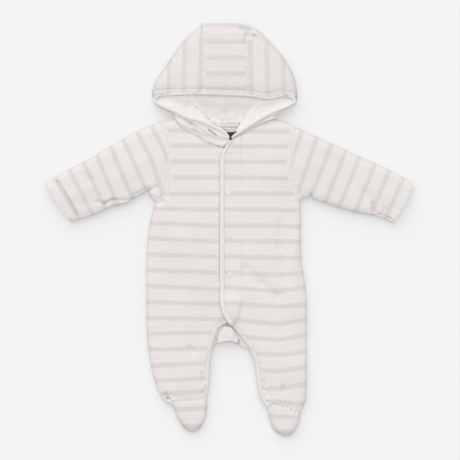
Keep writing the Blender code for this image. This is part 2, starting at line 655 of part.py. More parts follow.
def make_sleeve(side):
    whole = line("shoulder_" + side)
    start = np.argmin(np.linalg.norm(whole - whole_start(side), axis=1))
    over = whole[start:]
    columns = np.array([0, 0.02, 0.05, 0.09, 0.13, 0.19, 0.27, 0.36, 0.45, 0.54, 0.63, 0.72, 0.81, 0.89,
                        0.95, 1])
    by_gusset = along(line("-gusset_" + side), np.linspace(0, 1, 5))
    by_sleeve = along(line("-sleeve_under_" + side), (columns[5:] - columns[4]) / (1 - columns[4]))
    under = np.vstack([by_gusset, by_sleeve])
    grid = patch(along(over, columns), under, along(line("armhole_" + side), BOTH_ROLLED),
                 along(line("cuff_" + side), BOTH_ROLLED), fade=5)
    grid = pull_in(grid, column=0, by=2 * SEAM_GAP)
    shell("sleeve_" + side, [upper(grid, side), lower(grid, (side, side + "_lower"))], "velour")


def whole_start(side):
    """Where the sleeve starts on the shoulder's line."""
    return np.array(LINES["armhole_" + side][0], float)


def foot_grid(side, columns, gap=SEAM_GAP / 2):
    rows = np.array([0, 0.1, 0.25, 0.42, 0.58, 0.73, 0.86, 0.95, 1])
    if side == "left":
        edges = (line("ankle_left"), line("toe_left"), line("foot_outer_left"), line("-foot_inner_left"))
    else:
        edges = (line("ankle_right"), line("-toe_right"), line("-foot_inner_right"),
                 line("foot_outer_right"))
    top, bottom, left, right = edges
    grid = patch(along(top, columns), along(bottom, columns), along(left, rows), along(right, rows))
    return pull_in(grid, row=0, by=gap)


def make_foot(side):
    above = upper(foot_grid(side, LEG if side == "left" else foot_columns()), side)
    shell("foot_upper_" + side, [lift(above, SIDE_SEAM_Z + SEAM_GAP / 2)], "velour")
    columns = BACK_LEG if side == "left" else 1 - BACK_LEG[::-1]
    below = lower(foot_grid(side, columns, gap=SOLE_GAP), (side, side + "_lower"))
    shell("sole_" + side, [press(below, SIDE_SEAM_Z - SEAM_GAP / 2)], "velour")


def foot_columns():
    """The right leg's own shares at the ankle."""
    bound = np.zeros(len(RIGHT_LEG))
    bound[1:4] = np.array(BINDING_STEPS) / ankle_width()
    return RIGHT_LEG + bound


def ankle_width():
    ankle = LINES["ankle_right"]
    return np.linalg.norm(np.array(ankle[0], float) - np.array(ankle[-1], float))


HOOD_ACROSS = np.array([0, 0.03, 0.09, 0.19, 0.34, 0.52, 0.74, 0.9, 1])
CENTRE_COLUMNS = np.array([0, 0.1, 0.28, 0.5, 0.72, 0.9, 1])
HOOD_ROWS = np.array([0, 0.01, 0.035, 0.08, 0.15, 0.26, 0.4, 0.55, 0.68, 0.78, 0.88, 1])
HOOD_NECK = {"left": (-88, -30), "right": (76, 28)}  # x of the panels' ends at the neck
SEAM_START = 0.8  # the side panels start this far under the crown's corners


def neck_y(x):
    """Where the hood's lower layer ends: along the back's neck edge."""
    edge = np.vstack([back_top("left")[4:], back_top("right")[4:][::-1][1:]])
    return np.interp(x, edge[:, 0], edge[:, 1]) + 2 * SEAM_GAP


def offset(dense, by):
    """A line moved to its left-hand side."""
    step = np.gradient(dense, axis=0)
    step /= np.linalg.norm(step, axis=1)[:, None] + 1e-9
    return dense + np.stack([-step[:, 1], step[:, 0]], axis=1) * by


def hood_seam(side, to_neck=False):
    """The seam between a side panel and the centre panel, down to the brim or on to the neck."""
    seam = line("hood_seam_" + side)
    x = HOOD_NECK[side][1]
    return np.vstack([seam, [[x, neck_y(x)]]]) if to_neck else seam


def make_hood_side(side):
    outer = line("hood_left")[::-1] if side == "left" else line("hood_right")
    top_y = hood_seam(side)[0, 1] - SEAM_START
    seam, low_seam = [np.vstack([along_y(whole, top_y), down(whole, HOOD_ROWS)[1:]])
                      for whole in (hood_seam(side), hood_seam(side, to_neck=True))]
    start = along_y(outer, top_y)
    edge = np.vstack([start, outer[outer[:, 1] < top_y]])
    top = np.vstack([start, seam[:1]])
    brim = line("brim_left") if side == "left" else line("-brim_right")
    above = patch(along(top, HOOD_ACROSS), along(brim, HOOD_ACROSS), down(edge, share_of_drop(seam)), seam)
    above = pull_in(pull_in(above, column=-1), row=-1, by=BRIM_SETBACK)
    corner = line("opening_" + side)
    x = HOOD_NECK[side][0] + (HOOD_NECK[side][1] - HOOD_NECK[side][0]) * HOOD_ACROSS
    neck = np.stack([x, neck_y(x)], axis=1)
    low_edge = np.vstack([edge, corner[(corner[:, 1] > 201) & (corner[:, 1] < 229)], neck[:1]])
    below = patch(along(top, HOOD_ACROSS), neck, down(low_edge, share_of_drop(low_seam)), low_seam)
    below = pull_in(below, column=-1)
    below[0] = above[0]
    return hood_upper(above), hood_lower(below)


def along_y(dense, y):
    """The place on a line at a height."""
    order = np.argsort(dense[:, 1])
    return np.array([[np.interp(y, dense[order, 1], dense[order, 0]), y]])


def make_hood_centre():
    crown = along(line("hood_crown"), CENTRE_COLUMNS)
    above = patch(crown, along(line("brim_centre"), CENTRE_COLUMNS), down(hood_seam("left"), HOOD_ROWS),
                  down(hood_seam("right"), HOOD_ROWS))
    above = pull_in(above, row=-1, by=BRIM_SETBACK)
    x = HOOD_NECK["left"][1] + (HOOD_NECK["right"][1] - HOOD_NECK["left"][1]) * CENTRE_COLUMNS
    below = patch(crown, np.stack([x, neck_y(x)], axis=1), down(hood_seam("left", True), HOOD_ROWS),
                  down(hood_seam("right", True), HOOD_ROWS))
    grids = [pull_in(pull_in(grid, column=0), column=-1) for grid in (above, below)]
    grids[1][0] = grids[0][0]
    shell("hood_centre", [hood_upper(grids[0]), hood_lower(grids[1])], "velour")


def slab(name, grid, low, high, finish):
    """A closed piece over a grid of places, between two heights or grids of heights."""
    low, high = [np.broadcast_to(z, grid.shape[:2]) for z in (low, high)]
    shell(name, [(with_z(grid, high), with_z(grid, low))], finish)


def neck_part(side, inwards):
    """The neck seam under a front corner of the hood, from the shoulder inwards."""
    dense = line("neck_left") if side == "left" else line("-neck_right")
    dense = offset(dense, inwards if side == "left" else -inwards)
    keep = dense[:, 0] < -12.5 if side == "left" else dense[:, 0] > 31
    return dense[keep]


def make_hood_front(side):
    """The strip of the side panel between the neck seam and the hood's binding."""
    shares = np.array([0, 0.05, 0.15, 0.3, 0.45, 0.6, 0.75, 0.88, 1])
    edge = line("opening_" + side)
    away = -0.4 if side == "left" else 0.4
    edge = offset(edge, away)
    least, most = (-95, -5) if side == "left" else (40, 86)
    edge = edge[(edge[:, 0] > least) & (edge[:, 0] < most)]
    top, bottom = along(edge, shares), along(neck_part(side, 0.5), shares)
    v = np.array([0, 0.25, 0.6, 1])[:, None, None]
    grid = top[None] * (1 - v) + bottom[None] * v
    height = 19.3 - 2.6 * smooth(v[..., 0]) + 0 * grid[..., 0]
    slab("hood_front_" + side, grid, STRIP_LOW, height, "velour")


def make_flap(side):
    """The lining of a front corner, from the binding down to where it lies on the hood's lower layer."""
    shares = np.array([0, 0.06, 0.15, 0.27, 0.4, 0.53, 0.66, 0.8, 0.92, 1])
    middle = line("hood_edge")
    low = middle[:, 1] < (220 if side == "left" else 219)
    if side == "left":
        edge = offset(middle[low & (middle[:, 0] < -13)], -HOOD_BINDING[0] - 0.5)[::-1]
    else:
        edge = offset(middle[low & (middle[:, 0] > 15)], -HOOD_BINDING[0] - 0.5)
    edge, crease = along(edge, shares), line("crease_" + side)
    crease = along(crease[crease[:, 1] < 229.5], shares)
    u = np.array([0, 0.08, 0.25, 0.5, 0.75, 0.93, 1])[None, :, None]
    grid = edge[:, None] * (1 - u) + crease[:, None] * u
    at_edge = FLAP_EDGE - 3.6 * smooth((grid[..., 1] - 208) / 20)
    height = FLAP_CREASE + (at_edge - FLAP_CREASE) * (1 - smooth(u[..., 0]))
    height = height - 1.6 * smooth((u[..., 0] - 0.9) * 10)
    slab("hood_lining_" + side, grid, FLAP_LOW, height, "jersey")


def make_hood_lining():
    rows = np.array([0, 0.2, 0.4, 0.6, 0.78, 0.92, 1])
    columns = np.array([0, 0.15, 0.32, 0.45, 0.5, 0.55, 0.68, 0.85, 1])
    left = down(np.array([(-66, 252), (-64, 226), (-49, 203), (-38, 187.6)], float), rows)
    right = down(np.array([(52, 250), (48, 222), (34, 204), (20, 187.6)], float), rows)
    top, bottom = np.vstack([left[0], right[0]]), np.vstack([left[-1], right[-1]])
    grid = patch(along(top, columns), along(bottom, columns), left, right)
    slab("hood_lining_centre", grid, LINING_LOW, LINING_TOP + 0.5 * np.sin(grid[..., 0] / 5), "jersey")
    tape = np.array([[(x, y) for x in np.linspace(-38, 16, 7)] for y in (186.9, 183, 179.6)])
    slab("neck_tape", tape, LINING_LOW, TAPE_TOP, "jersey")
    label = np.array([[(x, y) for x in (-16, -4, 8)] for y in (168, 159, 150)])
    slab("neck_label", label, LABEL_LOW, LABEL_TOP, "label")


def close_rings(bm, rings):
    """Faces between rings of vertices, and a cap on each end."""
    for one, two in zip(rings, rings[1:]):
        for k in range(len(one)):
            m = (k + 1) % len(one)
            bm.faces.new((one[k], one[m], two[m], two[k]))
    bm.faces.new(rings[0][::-1])
    bm.faces.new(rings[-1])
    bmesh.ops.triangulate(bm, faces=bm.faces[:])
    bmesh.ops.recalc_face_normals(bm, faces=bm.faces[:])


def make_hood_binding():
    """A padded bar round the hood's opening, from the neck's left side over the brim to its right side."""
    path = along(line("hood_edge"), np.linspace(0, 1, 54))
    brim_share = smooth((path[:, 1] - 205) / 28)
    corner = np.minimum(abs(path[:, 0] + 124), abs(path[:, 0] - 108))
    high = HOOD_TOP - 3.4 - 9.0 * np.exp(-((corner / 24) ** 2))
    centre = 17.6 + (high - 17.6) * brim_share
    across = offset(path, 1.0) - path
    angles = np.linspace(0, 2 * np.pi, 8, endpoint=False)
    bm = bmesh.new()
    rings = []
    for i, (x, y) in enumerate(path):
        near_end = min(i, len(path) - 1 - i)
        size = (0.55, 0.85)[near_end] if near_end < 2 else 1.0
        half = size * (HOOD_BINDING[0] - 0.5 * brim_share[i])
        height = size * HOOD_BINDING[1]
        rings.append([bm.verts.new((MM * (x + across[i, 0] * half * np.cos(t)),
                                    MM * (y + across[i, 1] * half * np.cos(t)),
                                    MM * (centre[i] + height * np.sin(t)))) for t in angles])
    close_rings(bm, rings)
    add_mesh("binding_hood", bm, "binding", 0.9)


def make_hood():
    for side in ("left", "right"):
        above, below = make_hood_side(side)
        shell("hood_side_" + side, [above, below], "velour")
        make_hood_front(side)
        make_flap(side)
    make_hood_centre()
    make_hood_lining()
    make_hood_binding()


def make_crotch_facing():
    """The back's facing, which shows between the legs."""
    rows, columns = np.linspace(0, 1, 8), np.array([0, 0.08, 0.22, 0.4, 0.6, 0.78, 0.92, 1])
    left = down(np.array([(-15, -150), (-18, -164), (-26, -182), (-32, -201)], float), rows)
    right = down(np.array([(8, -150), (13, -170), (26, -188), (41, -210)], float), rows)
    hem = offset(np.vstack([line("crotch_hem_left"), line("crotch_hem_right")[1:]]), 1.5)
    hem = np.vstack([left[-1], hem[(hem[:, 0] > -28) & (hem[:, 0] < 37)], right[-1]])
    grid = patch(along(np.vstack([left[0], right[0]]), columns), along(hem, columns), left, right)
    bottom = lower(grid, ("left_back", "right_back", "crotch_hem"))[1][..., 2] + FACING_CLEAR
    slab("crotch_facing", grid, bottom, bottom + FACING_THICK, "velour")


def surface_of(*names):
    """What lies under a popper: the named objects' meshes, for finding their height."""
    trees = []
    for name in names:
        mesh = bpy.data.objects[name].data
        corners = [vertex.co for vertex in mesh.vertices]
        trees.append(BVHTree.FromPolygons(corners, [face.vertices for face in mesh.polygons]))
    return trees


def height_on(trees, place):
    """The highest of the surfaces at a place, in millimetres."""
    above = Vector((place[0] * MM, place[1] * MM, 0.1))
    hits = [tree.ray_cast(above, Vector((0, 0, -1)))[0] for tree in trees]
    return max(hit.z for hit in hits if hit) / MM


def make_poppers():
    """Seven popper caps, each set square to the cloth under it."""
    profile = ((POPPER_RADIUS, 0.0), (POPPER_RADIUS + 0.15, 0.6), (POPPER_RADIUS - 0.4, 1.4), (3.6, 1.9),
               (1.8, 2.1))
    turns = np.linspace(0, 2 * np.pi, 14, endpoint=False)
    ring = np.stack([np.cos(turns), np.sin(turns)], axis=1)
    trees = surface_of("front_right", "binding_front")
    for number, place in enumerate(POPPERS, 1):
        place = np.array(place, float)
        under = np.vstack([place + ring * r for r in (POPPER_RADIUS + 0.2, 4.2, 3.0, 1.5)])
        height = np.array([height_on(trees, spot) for spot in under])
        terms = np.column_stack([under - place, np.ones(len(under))])
        slope_x, slope_y, middle = np.linalg.lstsq(terms, height, rcond=None)[0]
        middle += (height - terms @ (slope_x, slope_y, middle)).max() + SEAM_GAP
        up = np.array([-slope_x, -slope_y, 1.0])
        up /= np.linalg.norm(up)
        side = np.cross([0, 1, 0], up)
        side /= np.linalg.norm(side)
        back = np.cross(up, side)
        seat = np.array([place[0], place[1], middle])
        bm = bmesh.new()
        rings = []
        for r, z in profile:
            places = [seat + r * (c * side + s * back) + z * up for c, s in ring]
            rings.append([bm.verts.new((spot * MM).tolist()) for spot in places])
        close_rings(bm, rings)
        add_mesh(f"popper_{number}", bm, "popper", 0.45)


def start_scene():
    for old in list(bpy.data.objects):
        bpy.data.objects.remove(old)
    collection = bpy.data.collections.new("pramsuit")
    bpy.context.scene.collection.children.link(collection)


start_scene()
make_fronts()
make_back()
make_sleeve("left")
make_sleeve("right")
make_foot("left")
make_foot("right")
make_hood()
make_crotch_facing()
make_poppers()
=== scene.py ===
# %% [markdown]
# # A padded baby pramsuit, laid flat
#
# The real thing is cut velour with a thin layer of wadding and a jersey inside, sewn from a back, two fronts, two
# sleeves, feet and a hood of three panels. It lies face up on a pale floor, and the camera looks straight down.
# Every panel is a wall of cloth worked out from the garment's own outline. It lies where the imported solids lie, with
# more points, so that it can carry folds, puckers and seams.

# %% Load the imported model
import math

import bmesh
import bpy
import numpy as np
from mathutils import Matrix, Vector
from mathutils.bvhtree import BVHTree
from numpy import array, clip, concatenate, exp, interp, linspace, maximum, minimum, pi, sin, stack, vstack, zeros
from numpy.linalg import norm


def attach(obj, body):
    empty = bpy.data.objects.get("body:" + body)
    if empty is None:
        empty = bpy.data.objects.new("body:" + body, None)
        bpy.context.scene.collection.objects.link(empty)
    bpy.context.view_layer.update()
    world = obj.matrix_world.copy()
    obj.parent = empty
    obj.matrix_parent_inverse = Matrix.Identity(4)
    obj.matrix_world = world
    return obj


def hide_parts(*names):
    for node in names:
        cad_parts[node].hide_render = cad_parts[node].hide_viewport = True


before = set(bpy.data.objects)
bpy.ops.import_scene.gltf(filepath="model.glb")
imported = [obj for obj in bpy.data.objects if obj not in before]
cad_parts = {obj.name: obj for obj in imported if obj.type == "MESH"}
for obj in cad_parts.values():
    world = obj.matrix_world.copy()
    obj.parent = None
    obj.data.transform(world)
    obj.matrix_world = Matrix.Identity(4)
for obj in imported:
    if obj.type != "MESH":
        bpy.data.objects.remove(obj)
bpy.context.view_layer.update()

# %% [markdown]
# ## Sizes
#
# The garment's own frame has +Y towards the hood and the floor at zero. The tables hold millimetres, because a maker
# thinks in them, and points turn into metres only when a mesh is made.

# %% Sizes of the padded walls
MM = 0.001
SEAM_GAP, SOLE_GAP = 0.04, 1.0  # the solids leave 0.3 at a seam; sewn cloth leaves nothing to see
SIDE_SEAM_Z = 9.0  # height of the side seams, where front and back meet
BODY_TOP, BODY_ROLL_TOP, BODY_ROLL, BODY_SPREAD = 18.5, 16.0, 16.0, 60.0
FRONT_INSIDE, BACK_INSIDE, INSIDE_ROLL = 2.0, 1.5, 20.0
EDGE_WALL, EDGE_REACH, ON_EDGE = 3.0, 8.0, 0.05  # how far in the inner face starts, and where that has faded
LEAST_WALL, FLOOR_ROLL = 1.5, 12.0  # the thinnest a wall gets, and the rounding where it meets the floor
FOLD_FADE, DIP_FADE, RIPPLE_FADE, RIDGE_FADE = 10.0, 12.0, 7.0, 6.0  # from the outline to where each is full
HOOD_SEAM_Z, HOOD_TOP, HOOD_ROLL_TOP, HOOD_ROLL, HOOD_WALL = 10.0, 27.0, 23.0, 22.0, 6.0
HOOD_SPREAD, HOOD_INSIDE_ROLL, HOOD_FLOOR_ROLL, HOOD_FOLD_FADE, HOOD_RIPPLE_FADE = 60.0, 28.0, 14.0, 8.0, 9.0
SEAM_DIP, SEAM_WIDTH = 2.2, 5.0
LAP_TOP = 16.8  # the left front, pressed flat under the right one
TOE_DIP, TOE_REACH = 6.0, 9.0  # how far the seam comes down at the toes
BINDING_STEPS, BINDING_IN, BINDING_OUT, BINDING_DROP = (1.2, 4.0, 7.0), 0.3, 1.4, 3.2
BINDING_HALF, BINDING_HIGH = 3.1, 3.8  # the roll round the hood
BRIM_SETBACK, BRIM_DROP, BRIM_REACH = 1.6, 3.5, 14.0  # the hood's cloth comes down to its brim
BRIM_HEM, BRIM_GROOVE, GROOVE_WIDTH = 8.6, 0.7, 1.5  # from the brim to its stitches, which pull the cloth in
LINING_LOW, LINING_TOP, UNDER_HOOD = 6.4, 7.8, 16.0  # the last is the linings' height behind the brim
FLAP_LOW, FLAP_CREASE, FLAP_EDGE = 8.4, 13.2, 18.8
STRIP_LOW, STRIP_HEM, TAPE_TOP, LABEL_LOW, LABEL_TOP = 10.8, 15.2, 7.6, 7.9, 8.4
FACING_CLEAR, FACING_THICK, CROTCH_DIP, CROTCH_REACH = 0.5, 0.9, 2.6, 25.0
POPPER_RADIUS = 5.2
SIDES = ("left", "right")
FINE = 6  # how many smaller steps each of the solids' steps gets
LOW_FINE = 3  # the same for what is mostly hidden

# %% Outlines and seams: x, y, x, y and so on, of the points that each smooth line runs through
LINES = {
    "shoulder_left": (-96, 195, -121, 187, -147, 178, -188, 157, -242, 125, -282, 104, -323, 81),
    "cuff_left": (-323, 81, -301, 46, -278, 13),
    "sleeve_under_left": (-278, 13, -261, 18, -230, 28, -209, 38, -179, 46, -161, 58, -149, 65, -138, 70),
    "gusset_left": (-138, 70, -141, 64.5, -137, 57, -129, 47),
    "armhole_left": (-121, 187, -112, 172, -107, 151, -105, 110, -106, 75, -115, 55, -129, 47),
    "side_left": (-129, 47, -136, 24, -140, 6, -144, -36, -145, -97, -144, -185, -140, -220, -134, -253, -126, -277,
                  -119, -293),
    "heel_left": (-119, -293, -112, -302, -105, -304, -101, -306),
    "foot_outer_left": (-101, -306, -96, -314, -92.5, -327, -83, -344),
    "toe_left": (-83, -344, -75, -352, -64, -355.5, -54, -351.5, -46.5, -341),
    "foot_inner_left": (-46.5, -341, -41, -328, -39, -311, -39, -287),
    "leg_inner_left": (-39, -287, -36, -270, -35, -249, -33, -221, -29, -203),
    "crotch_left": (-29, -203, -21, -179, -15.5, -169.5, -8.8, -165.3),
    "underlap": (-8.8, -165.3, -1, -160, 7, -137, 12, -116, 12, 141),
    "neck_left": (-96, 195, -86, 182, -72, 172, -56, 164, -39, 153, -25, 147, -13, 143, 12, 141),
    "ankle_left": (-101, -306, -97, -298, -76, -296, -56, -295, -39, -287),
    "neck_right": (2, 156, 12, 160, 34, 173, 54, 183, 78, 193),
    "shoulder_right": (78, 193, 98, 188, 117, 179, 143, 167, 189, 146, 234, 125, 281, 104, 323, 81),
    "cuff_right": (323, 81, 308, 46, 287, 11),
    "sleeve_under_right": (287, 11, 273, 19, 250, 25, 215, 31, 189, 39, 160, 48.5, 145.5, 55, 142.8, 63, 139.5, 56),
    "gusset_right": (139.5, 56, 131, 56, 124, 49),
    "armhole_right": (117, 179, 111, 167, 108, 144, 106, 116, 109, 90, 116, 69, 124, 49),
    "side_right": (124, 49, 125, 25, 125, -22, 126, -53, 132, -92, 135, -116, 135, -202, 135, -284, 132, -304,
                   124, -321),
    "foot_outer_right": (124, -321, 123, -335, 117, -348),
    "toe_right": (117, -348, 111, -357, 99, -363, 87, -359, 76, -349.5),
    "foot_inner_right": (76, -349.5, 71, -335, 66, -312),
    "ankle_right": (66, -312, 75, -304, 91, -306, 108, -312, 124, -321),
    "leg_inner_right": (66, -312, 56, -297, 51, -277, 48, -255, 45, -233, 38, -213),
    "crotch_right": (38, -213, 19, -186, 3, -168),
    "front_edge": (3, -168, -7, -153, -13, -137, -15, -118, -15, 113, -14, 129, -7, 144, 2, 156),
    "crotch_hem_left": (-29, -203, -16, -199, 0, -196),
    "crotch_hem_right": (0, -196, 12, -200, 24, -206, 38, -213),
    "back_neck_left": (-96, 195, -76, 187, -42, 178, 0, 175),
    "back_neck_right": (0, 175, 36, 179, 61, 187, 78, 193),
    "hood_left": (-133, 230, -135, 242, -128, 262, -107, 293, -79, 331, -46, 361),
    "hood_crown": (-46, 361, -16, 361.4, 12, 360.8, 35, 357),
    "hood_right": (35, 357, 50, 349, 68, 332, 89, 309, 107, 283, 117, 255, 119, 230),
    "brim_left": (-133, 230, -125, 235, -69, 237, -46, 237),
    "brim_centre": (-46, 237, -11, 236, 34, 234),
    "brim_right": (34, 234, 68, 229, 92, 234, 119, 230),
    "opening_left": (-133, 230, -131, 220, -118, 212, -93, 202, -72, 192, -53, 187, -34, 179, -15, 170, 0, 158),
    "opening_right": (119, 230, 116, 220, 99, 211, 71, 199, 47, 185, 22, 169, 2, 156),
    "crease_left": (-84, 237, -64, 231, -53, 221, -44, 207, -37, 193, -27, 184, -17, 180, -10, 177),
    "crease_right": (72, 230, 42, 216, 29, 200, 20, 188, 14, 178, 11, 173.5),
    "hood_edge": (-0.6, 160.2, -5, 166.5, -14, 173, -33, 182, -52, 190, -71, 195, -92, 205, -116, 215, -128, 221.5,
                  -131, 228, -124, 233.5, -100, 236, -69, 237, -46, 237, -11, 236, 34, 234, 68, 229, 92, 233.5,
                  108, 232, 115, 227, 112, 221, 97, 213.5, 69, 201.7, 45, 187.6, 20, 171.7, 7, 162.5, 4.6, 159.6),
    "shoulder_part_left": (-96, 195, -108, 191, -121, 187),
    "shoulder_part_right": (78, 193, 98, 188, 117, 179),
    "hood_seam_left": (-46, 361, -47, 314, -46, 237),
    "hood_seam_right": (35, 357, 32, 323, 31, 279, 34, 234),
    "toe_seam_left": (-84, -342, -75, -352, -64, -355.5, -54, -351.5),
    "toe_seam_right": (73, -343, 76, -349.5, 87, -359, 99, -363),
}
LINES = {name: array(numbers, float).reshape(-1, 2) for name, numbers in LINES.items()}

# %% Folds: each is a line from x0, y0 to x1, y1, with how far it reaches and its height, or depth if less than zero
FOLDS = (
    # the left sleeve, then the right one
    (-250, 97, -243, 84, 5, -1.8), (-244, 88, -222, 78, 7, -1.5), (-262, 60, -248, 92, 14, 1.8),
    (-139, 69, -126, 75, 2.0, -3.0), (-232, 49, -217, 45.5, 2.8, -3.4), (-217, 45.5, -205, 51.5, 2.8, -3.4),
    (-205, 51.5, -178, 50.5, 2.8, -2.9), (-300.7, 84, -262.5, 20, 2.4, -3.8), (-164, 60, -142, 70, 3.2, -5.0),
    (250.5, 46, 250.5, 32, 2.6, -4.6), (262, 26, 283, 17, 2.4, -7.0), (271, 24, 273, 36, 3.4, -2.8),
    (205, 92, 240, 60, 13, -1.8),
    # the belly, the chest and the legs
    (0, -42, 29, -69, 7, -1.3), (29, -69, 56, -95, 7, -2.2), (56, -95, 82, -118, 7.5, -2.5),
    (82, -118, 97, -172, 10, -2.2), (90, 12, 90, -32, 6, -2.4), (92, -32, 97, -88, 9, -1.9),
    (112, -40, 114, -150, 7, 1.3), (-70, -205, -62, -216, 4, -3.2), (-46, -252, -44, -264, 4, -2.8),
    (-122, 50, -104, 32, 5, -1.8), (60, -268, 66, -290, 5, -2.4), (-112, -286, -96, -292, 4, -1.8),
    # the crown of the hood
    (4, 353.5, 21, 353.2, 3.4, -1.8), (21, 353.2, 37, 350.4, 2.6, -3.8), (33, 349, 28.5, 327, 3.2, -2.0),
    (33, 340.5, 44, 337.6, 3.2, -3.2), (44, 337.6, 62, 330.4, 3.2, -3.0),
    # between the legs, and at the ankles
    (94, -274, 95, -283, 2.8, -3.6), (10, -184, 7, -198, 1.8, -1.5), (-16, -186, -2, -190, 2.6, -0.3),
    (-10, -178, 3, -181, 2.6, -0.25), (61, -296, 63.5, -313, 2.2, -3.4), (66, -300, 68.5, -314, 2.0, -2.6),
    (70, -317, 72, -327, 2.4, -2.8), (-113, -290, -106, -296, 3.4, -4.6), (-109, -296, -103.5, -304, 3.4, -5.0),
    # the hood's front corner on the left
    (-56.4, 212.6, -44.6, 200, 1.7, -2.6), (-73, 219.6, -76, 211, 1.6, -1.8), (-35.4, 174.1, -23.2, 164.5, 1.3, -4.2),
    (-86, 195.8, -67, 184.6, 2.2, -2.6), (-62.7, 183.4, -43, 169.2, 1.8, -2.2),
)
POPPERS = ((1.5, 137), (-1.5, 64), (1, -10), (2, -79), (4, -143), (38, -201), (65, -274))

# %% [markdown]
# ## Smooth lines and patches
#
# A panel of cloth has four edges. A Coons patch fills them with a grid of points: it runs straight from edge to edge
# and adds the bulge of the side edges. The same grid then serves for the shape, the stripes and the stitches.

# %% Lines
def smooth(value):
    """0 to 1 as the value goes from 0 to 1, level at both ends."""
    value = clip(value, 0.0, 1.0)
    return value * value * (3 - 2 * value)


def roll(value):
    """A quarter of a rounded edge: upright at 0, level at 1."""
    return np.sqrt(1 - (1 - clip(value, 0.0, 1.0)) ** 2)


def bell(value, width):
    return exp(-((value / width) ** 2))


def unit(ways):
    return ways / (norm(ways, axis=-1)[..., None] + 1e-9)


def turned_left(ways):
    return stack([-ways[..., 1], ways[..., 0]], axis=-1)


def spline(points, steps=12):
    """A smooth line through the points, as a dense list of places."""
    ends = vstack([2 * points[0] - points[1], points, 2 * points[-1] - points[-2]])
    t = linspace(0, 1, steps, endpoint=False)[:, None]
    parts = []
    for a, b, c, d in zip(ends, ends[1:], ends[2:], ends[3:]):
        chord = norm(c - b)
        into, out = (c - a) * chord / (chord + norm(b - a)), (d - b) * chord / (chord + norm(d - c))
        parts.append((2 * t**3 - 3 * t**2 + 1) * b + (t**3 - 2 * t**2 + t) * into
                     + (3 * t**2 - 2 * t**3) * c + (t**3 - t**2) * out)
    return vstack(parts + [points[-1:]])


def joined(first, *others):
    """Lines end to end, without the points that they share."""
    return vstack([first] + [dense[1:] for dense in others])


def ends(first, last):
    """A line from its two ends, or a line and a point beyond its end."""
    return vstack([first, last])


def line(*names):
    """Named lines end to end. A name that starts with a minus runs backwards."""
    return joined(*[spline(LINES[name.lstrip("-")])[::-1 if name[0] == "-" else 1] for name in names])


def run_of(dense):
    """How far along a line each of its points is."""
    return concatenate([[0], np.cumsum(norm(np.diff(dense, axis=0), axis=1))])


def share_of_run(dense):
    run = run_of(dense)
    return run / run[-1]


def share_of_drop(dense):
    return (dense[0, 1] - dense[:, 1]) / (dense[0, 1] - dense[-1, 1])


def picked(places, run, rows):
    """The rows of a list where its run reaches the places."""
    return stack([interp(places, run, column) for column in rows.T], axis=1)


def along(dense, shares):
    """Places on a line at shares of its length."""
    return picked(shares, share_of_run(dense), dense)


def x_at(dense, y):
    """A line's x at heights."""
    order = np.argsort(dense[:, 1])
    return interp(y, dense[order, 1], dense[order, 0])


def down(dense, shares):
    """Places on a line at shares of its height, from its first end to its last."""
    y = dense[0, 1] + (dense[-1, 1] - dense[0, 1]) * np.asarray(shares)
    return stack([x_at(dense, y), y], axis=1)


def offset(dense, by):
    """A line moved to its left-hand side."""
    return dense + turned_left(unit(np.gradient(dense, axis=0))) * by


def refine(shares, times):
    """Each step of a list of shares in so many smaller steps."""
    places = np.arange((len(shares) - 1) * times + 1) / times
    return interp(places, np.arange(len(shares)), shares)


# %% Grids
def patch(top, bottom, left, right, fade=1):
    """Fills four edges with a grid of places: top and bottom run left to right, left and right top to bottom.

    A higher fade keeps the shape of the left and right edges nearer to them.
    """
    u, v = share_of_run(top)[None, :, None], share_of_run(left)[:, None, None]
    bulge_left = left[:, None] - ((1 - v) * top[0] + v * bottom[0])
    bulge_right = right[:, None] - ((1 - v) * top[-1] + v * bottom[-1])
    return (1 - v) * top[None] + v * bottom[None] + (1 - u) ** fade * bulge_left + u**fade * bulge_right


def panel(top, bottom, left, right, shares):
    """A grid whose rows have their points at their own shares of the width."""
    fine = np.unique(concatenate([linspace(0, 1, 201), shares[0], shares[-1]]))
    dense = patch(along(top, fine), along(bottom, fine), left, right)
    return array([picked(share, fine, row) for row, share in zip(dense, shares)])


def pull_in(grid, row=None, column=None, by=SEAM_GAP / 2):
    """Moves one edge row or column of a grid square to itself, inwards, which leaves a seam's gap."""
    if column is not None:
        return np.swapaxes(pull_in(np.swapaxes(grid, 0, 1), column, by=by), 0, 1)
    grid = grid.copy()
    edge, other = (grid[0], grid[1]) if row == 0 else (grid[-1], grid[-2])
    square = unit(turned_left(np.gradient(edge, axis=0)))
    grid[row] = edge + square * np.sign(((other - edge) * square).sum(1).mean()) * by
    return grid


def to_steps(points, dense):
    """Each place's distance from every step of a line, its share of that step, the steps and the way from them."""
    step = np.diff(dense, axis=0)
    keep = norm(step, axis=1) > 1e-6
    step = step[keep]
    away = points.reshape(-1, 2)[:, None] - dense[:-1][keep]
    share = clip((away * step).sum(2) / (step * step).sum(1), 0, 1)
    return norm(away - share[..., None] * step, axis=2), share, step, away


def distance_to(points, dense):
    return to_steps(points, dense)[0].min(axis=1).reshape(points.shape[:-1])


def near_line(points, dense):
    """Distance from each place to a line, how far along the line that is, and on which side."""
    distance, share, step, away = to_steps(points, dense)
    length = norm(step, axis=1)
    best = distance.argmin(axis=1)
    pick = np.arange(len(best))
    side = np.sign(step[best, 0] * away[pick, best, 1] - step[best, 1] * away[pick, best, 0])
    run = concatenate([[0], np.cumsum(length)[:-1]])[best] + share[pick, best] * length[best]
    return [value.reshape(points.shape[:-1]) for value in (distance[pick, best], run, side)]


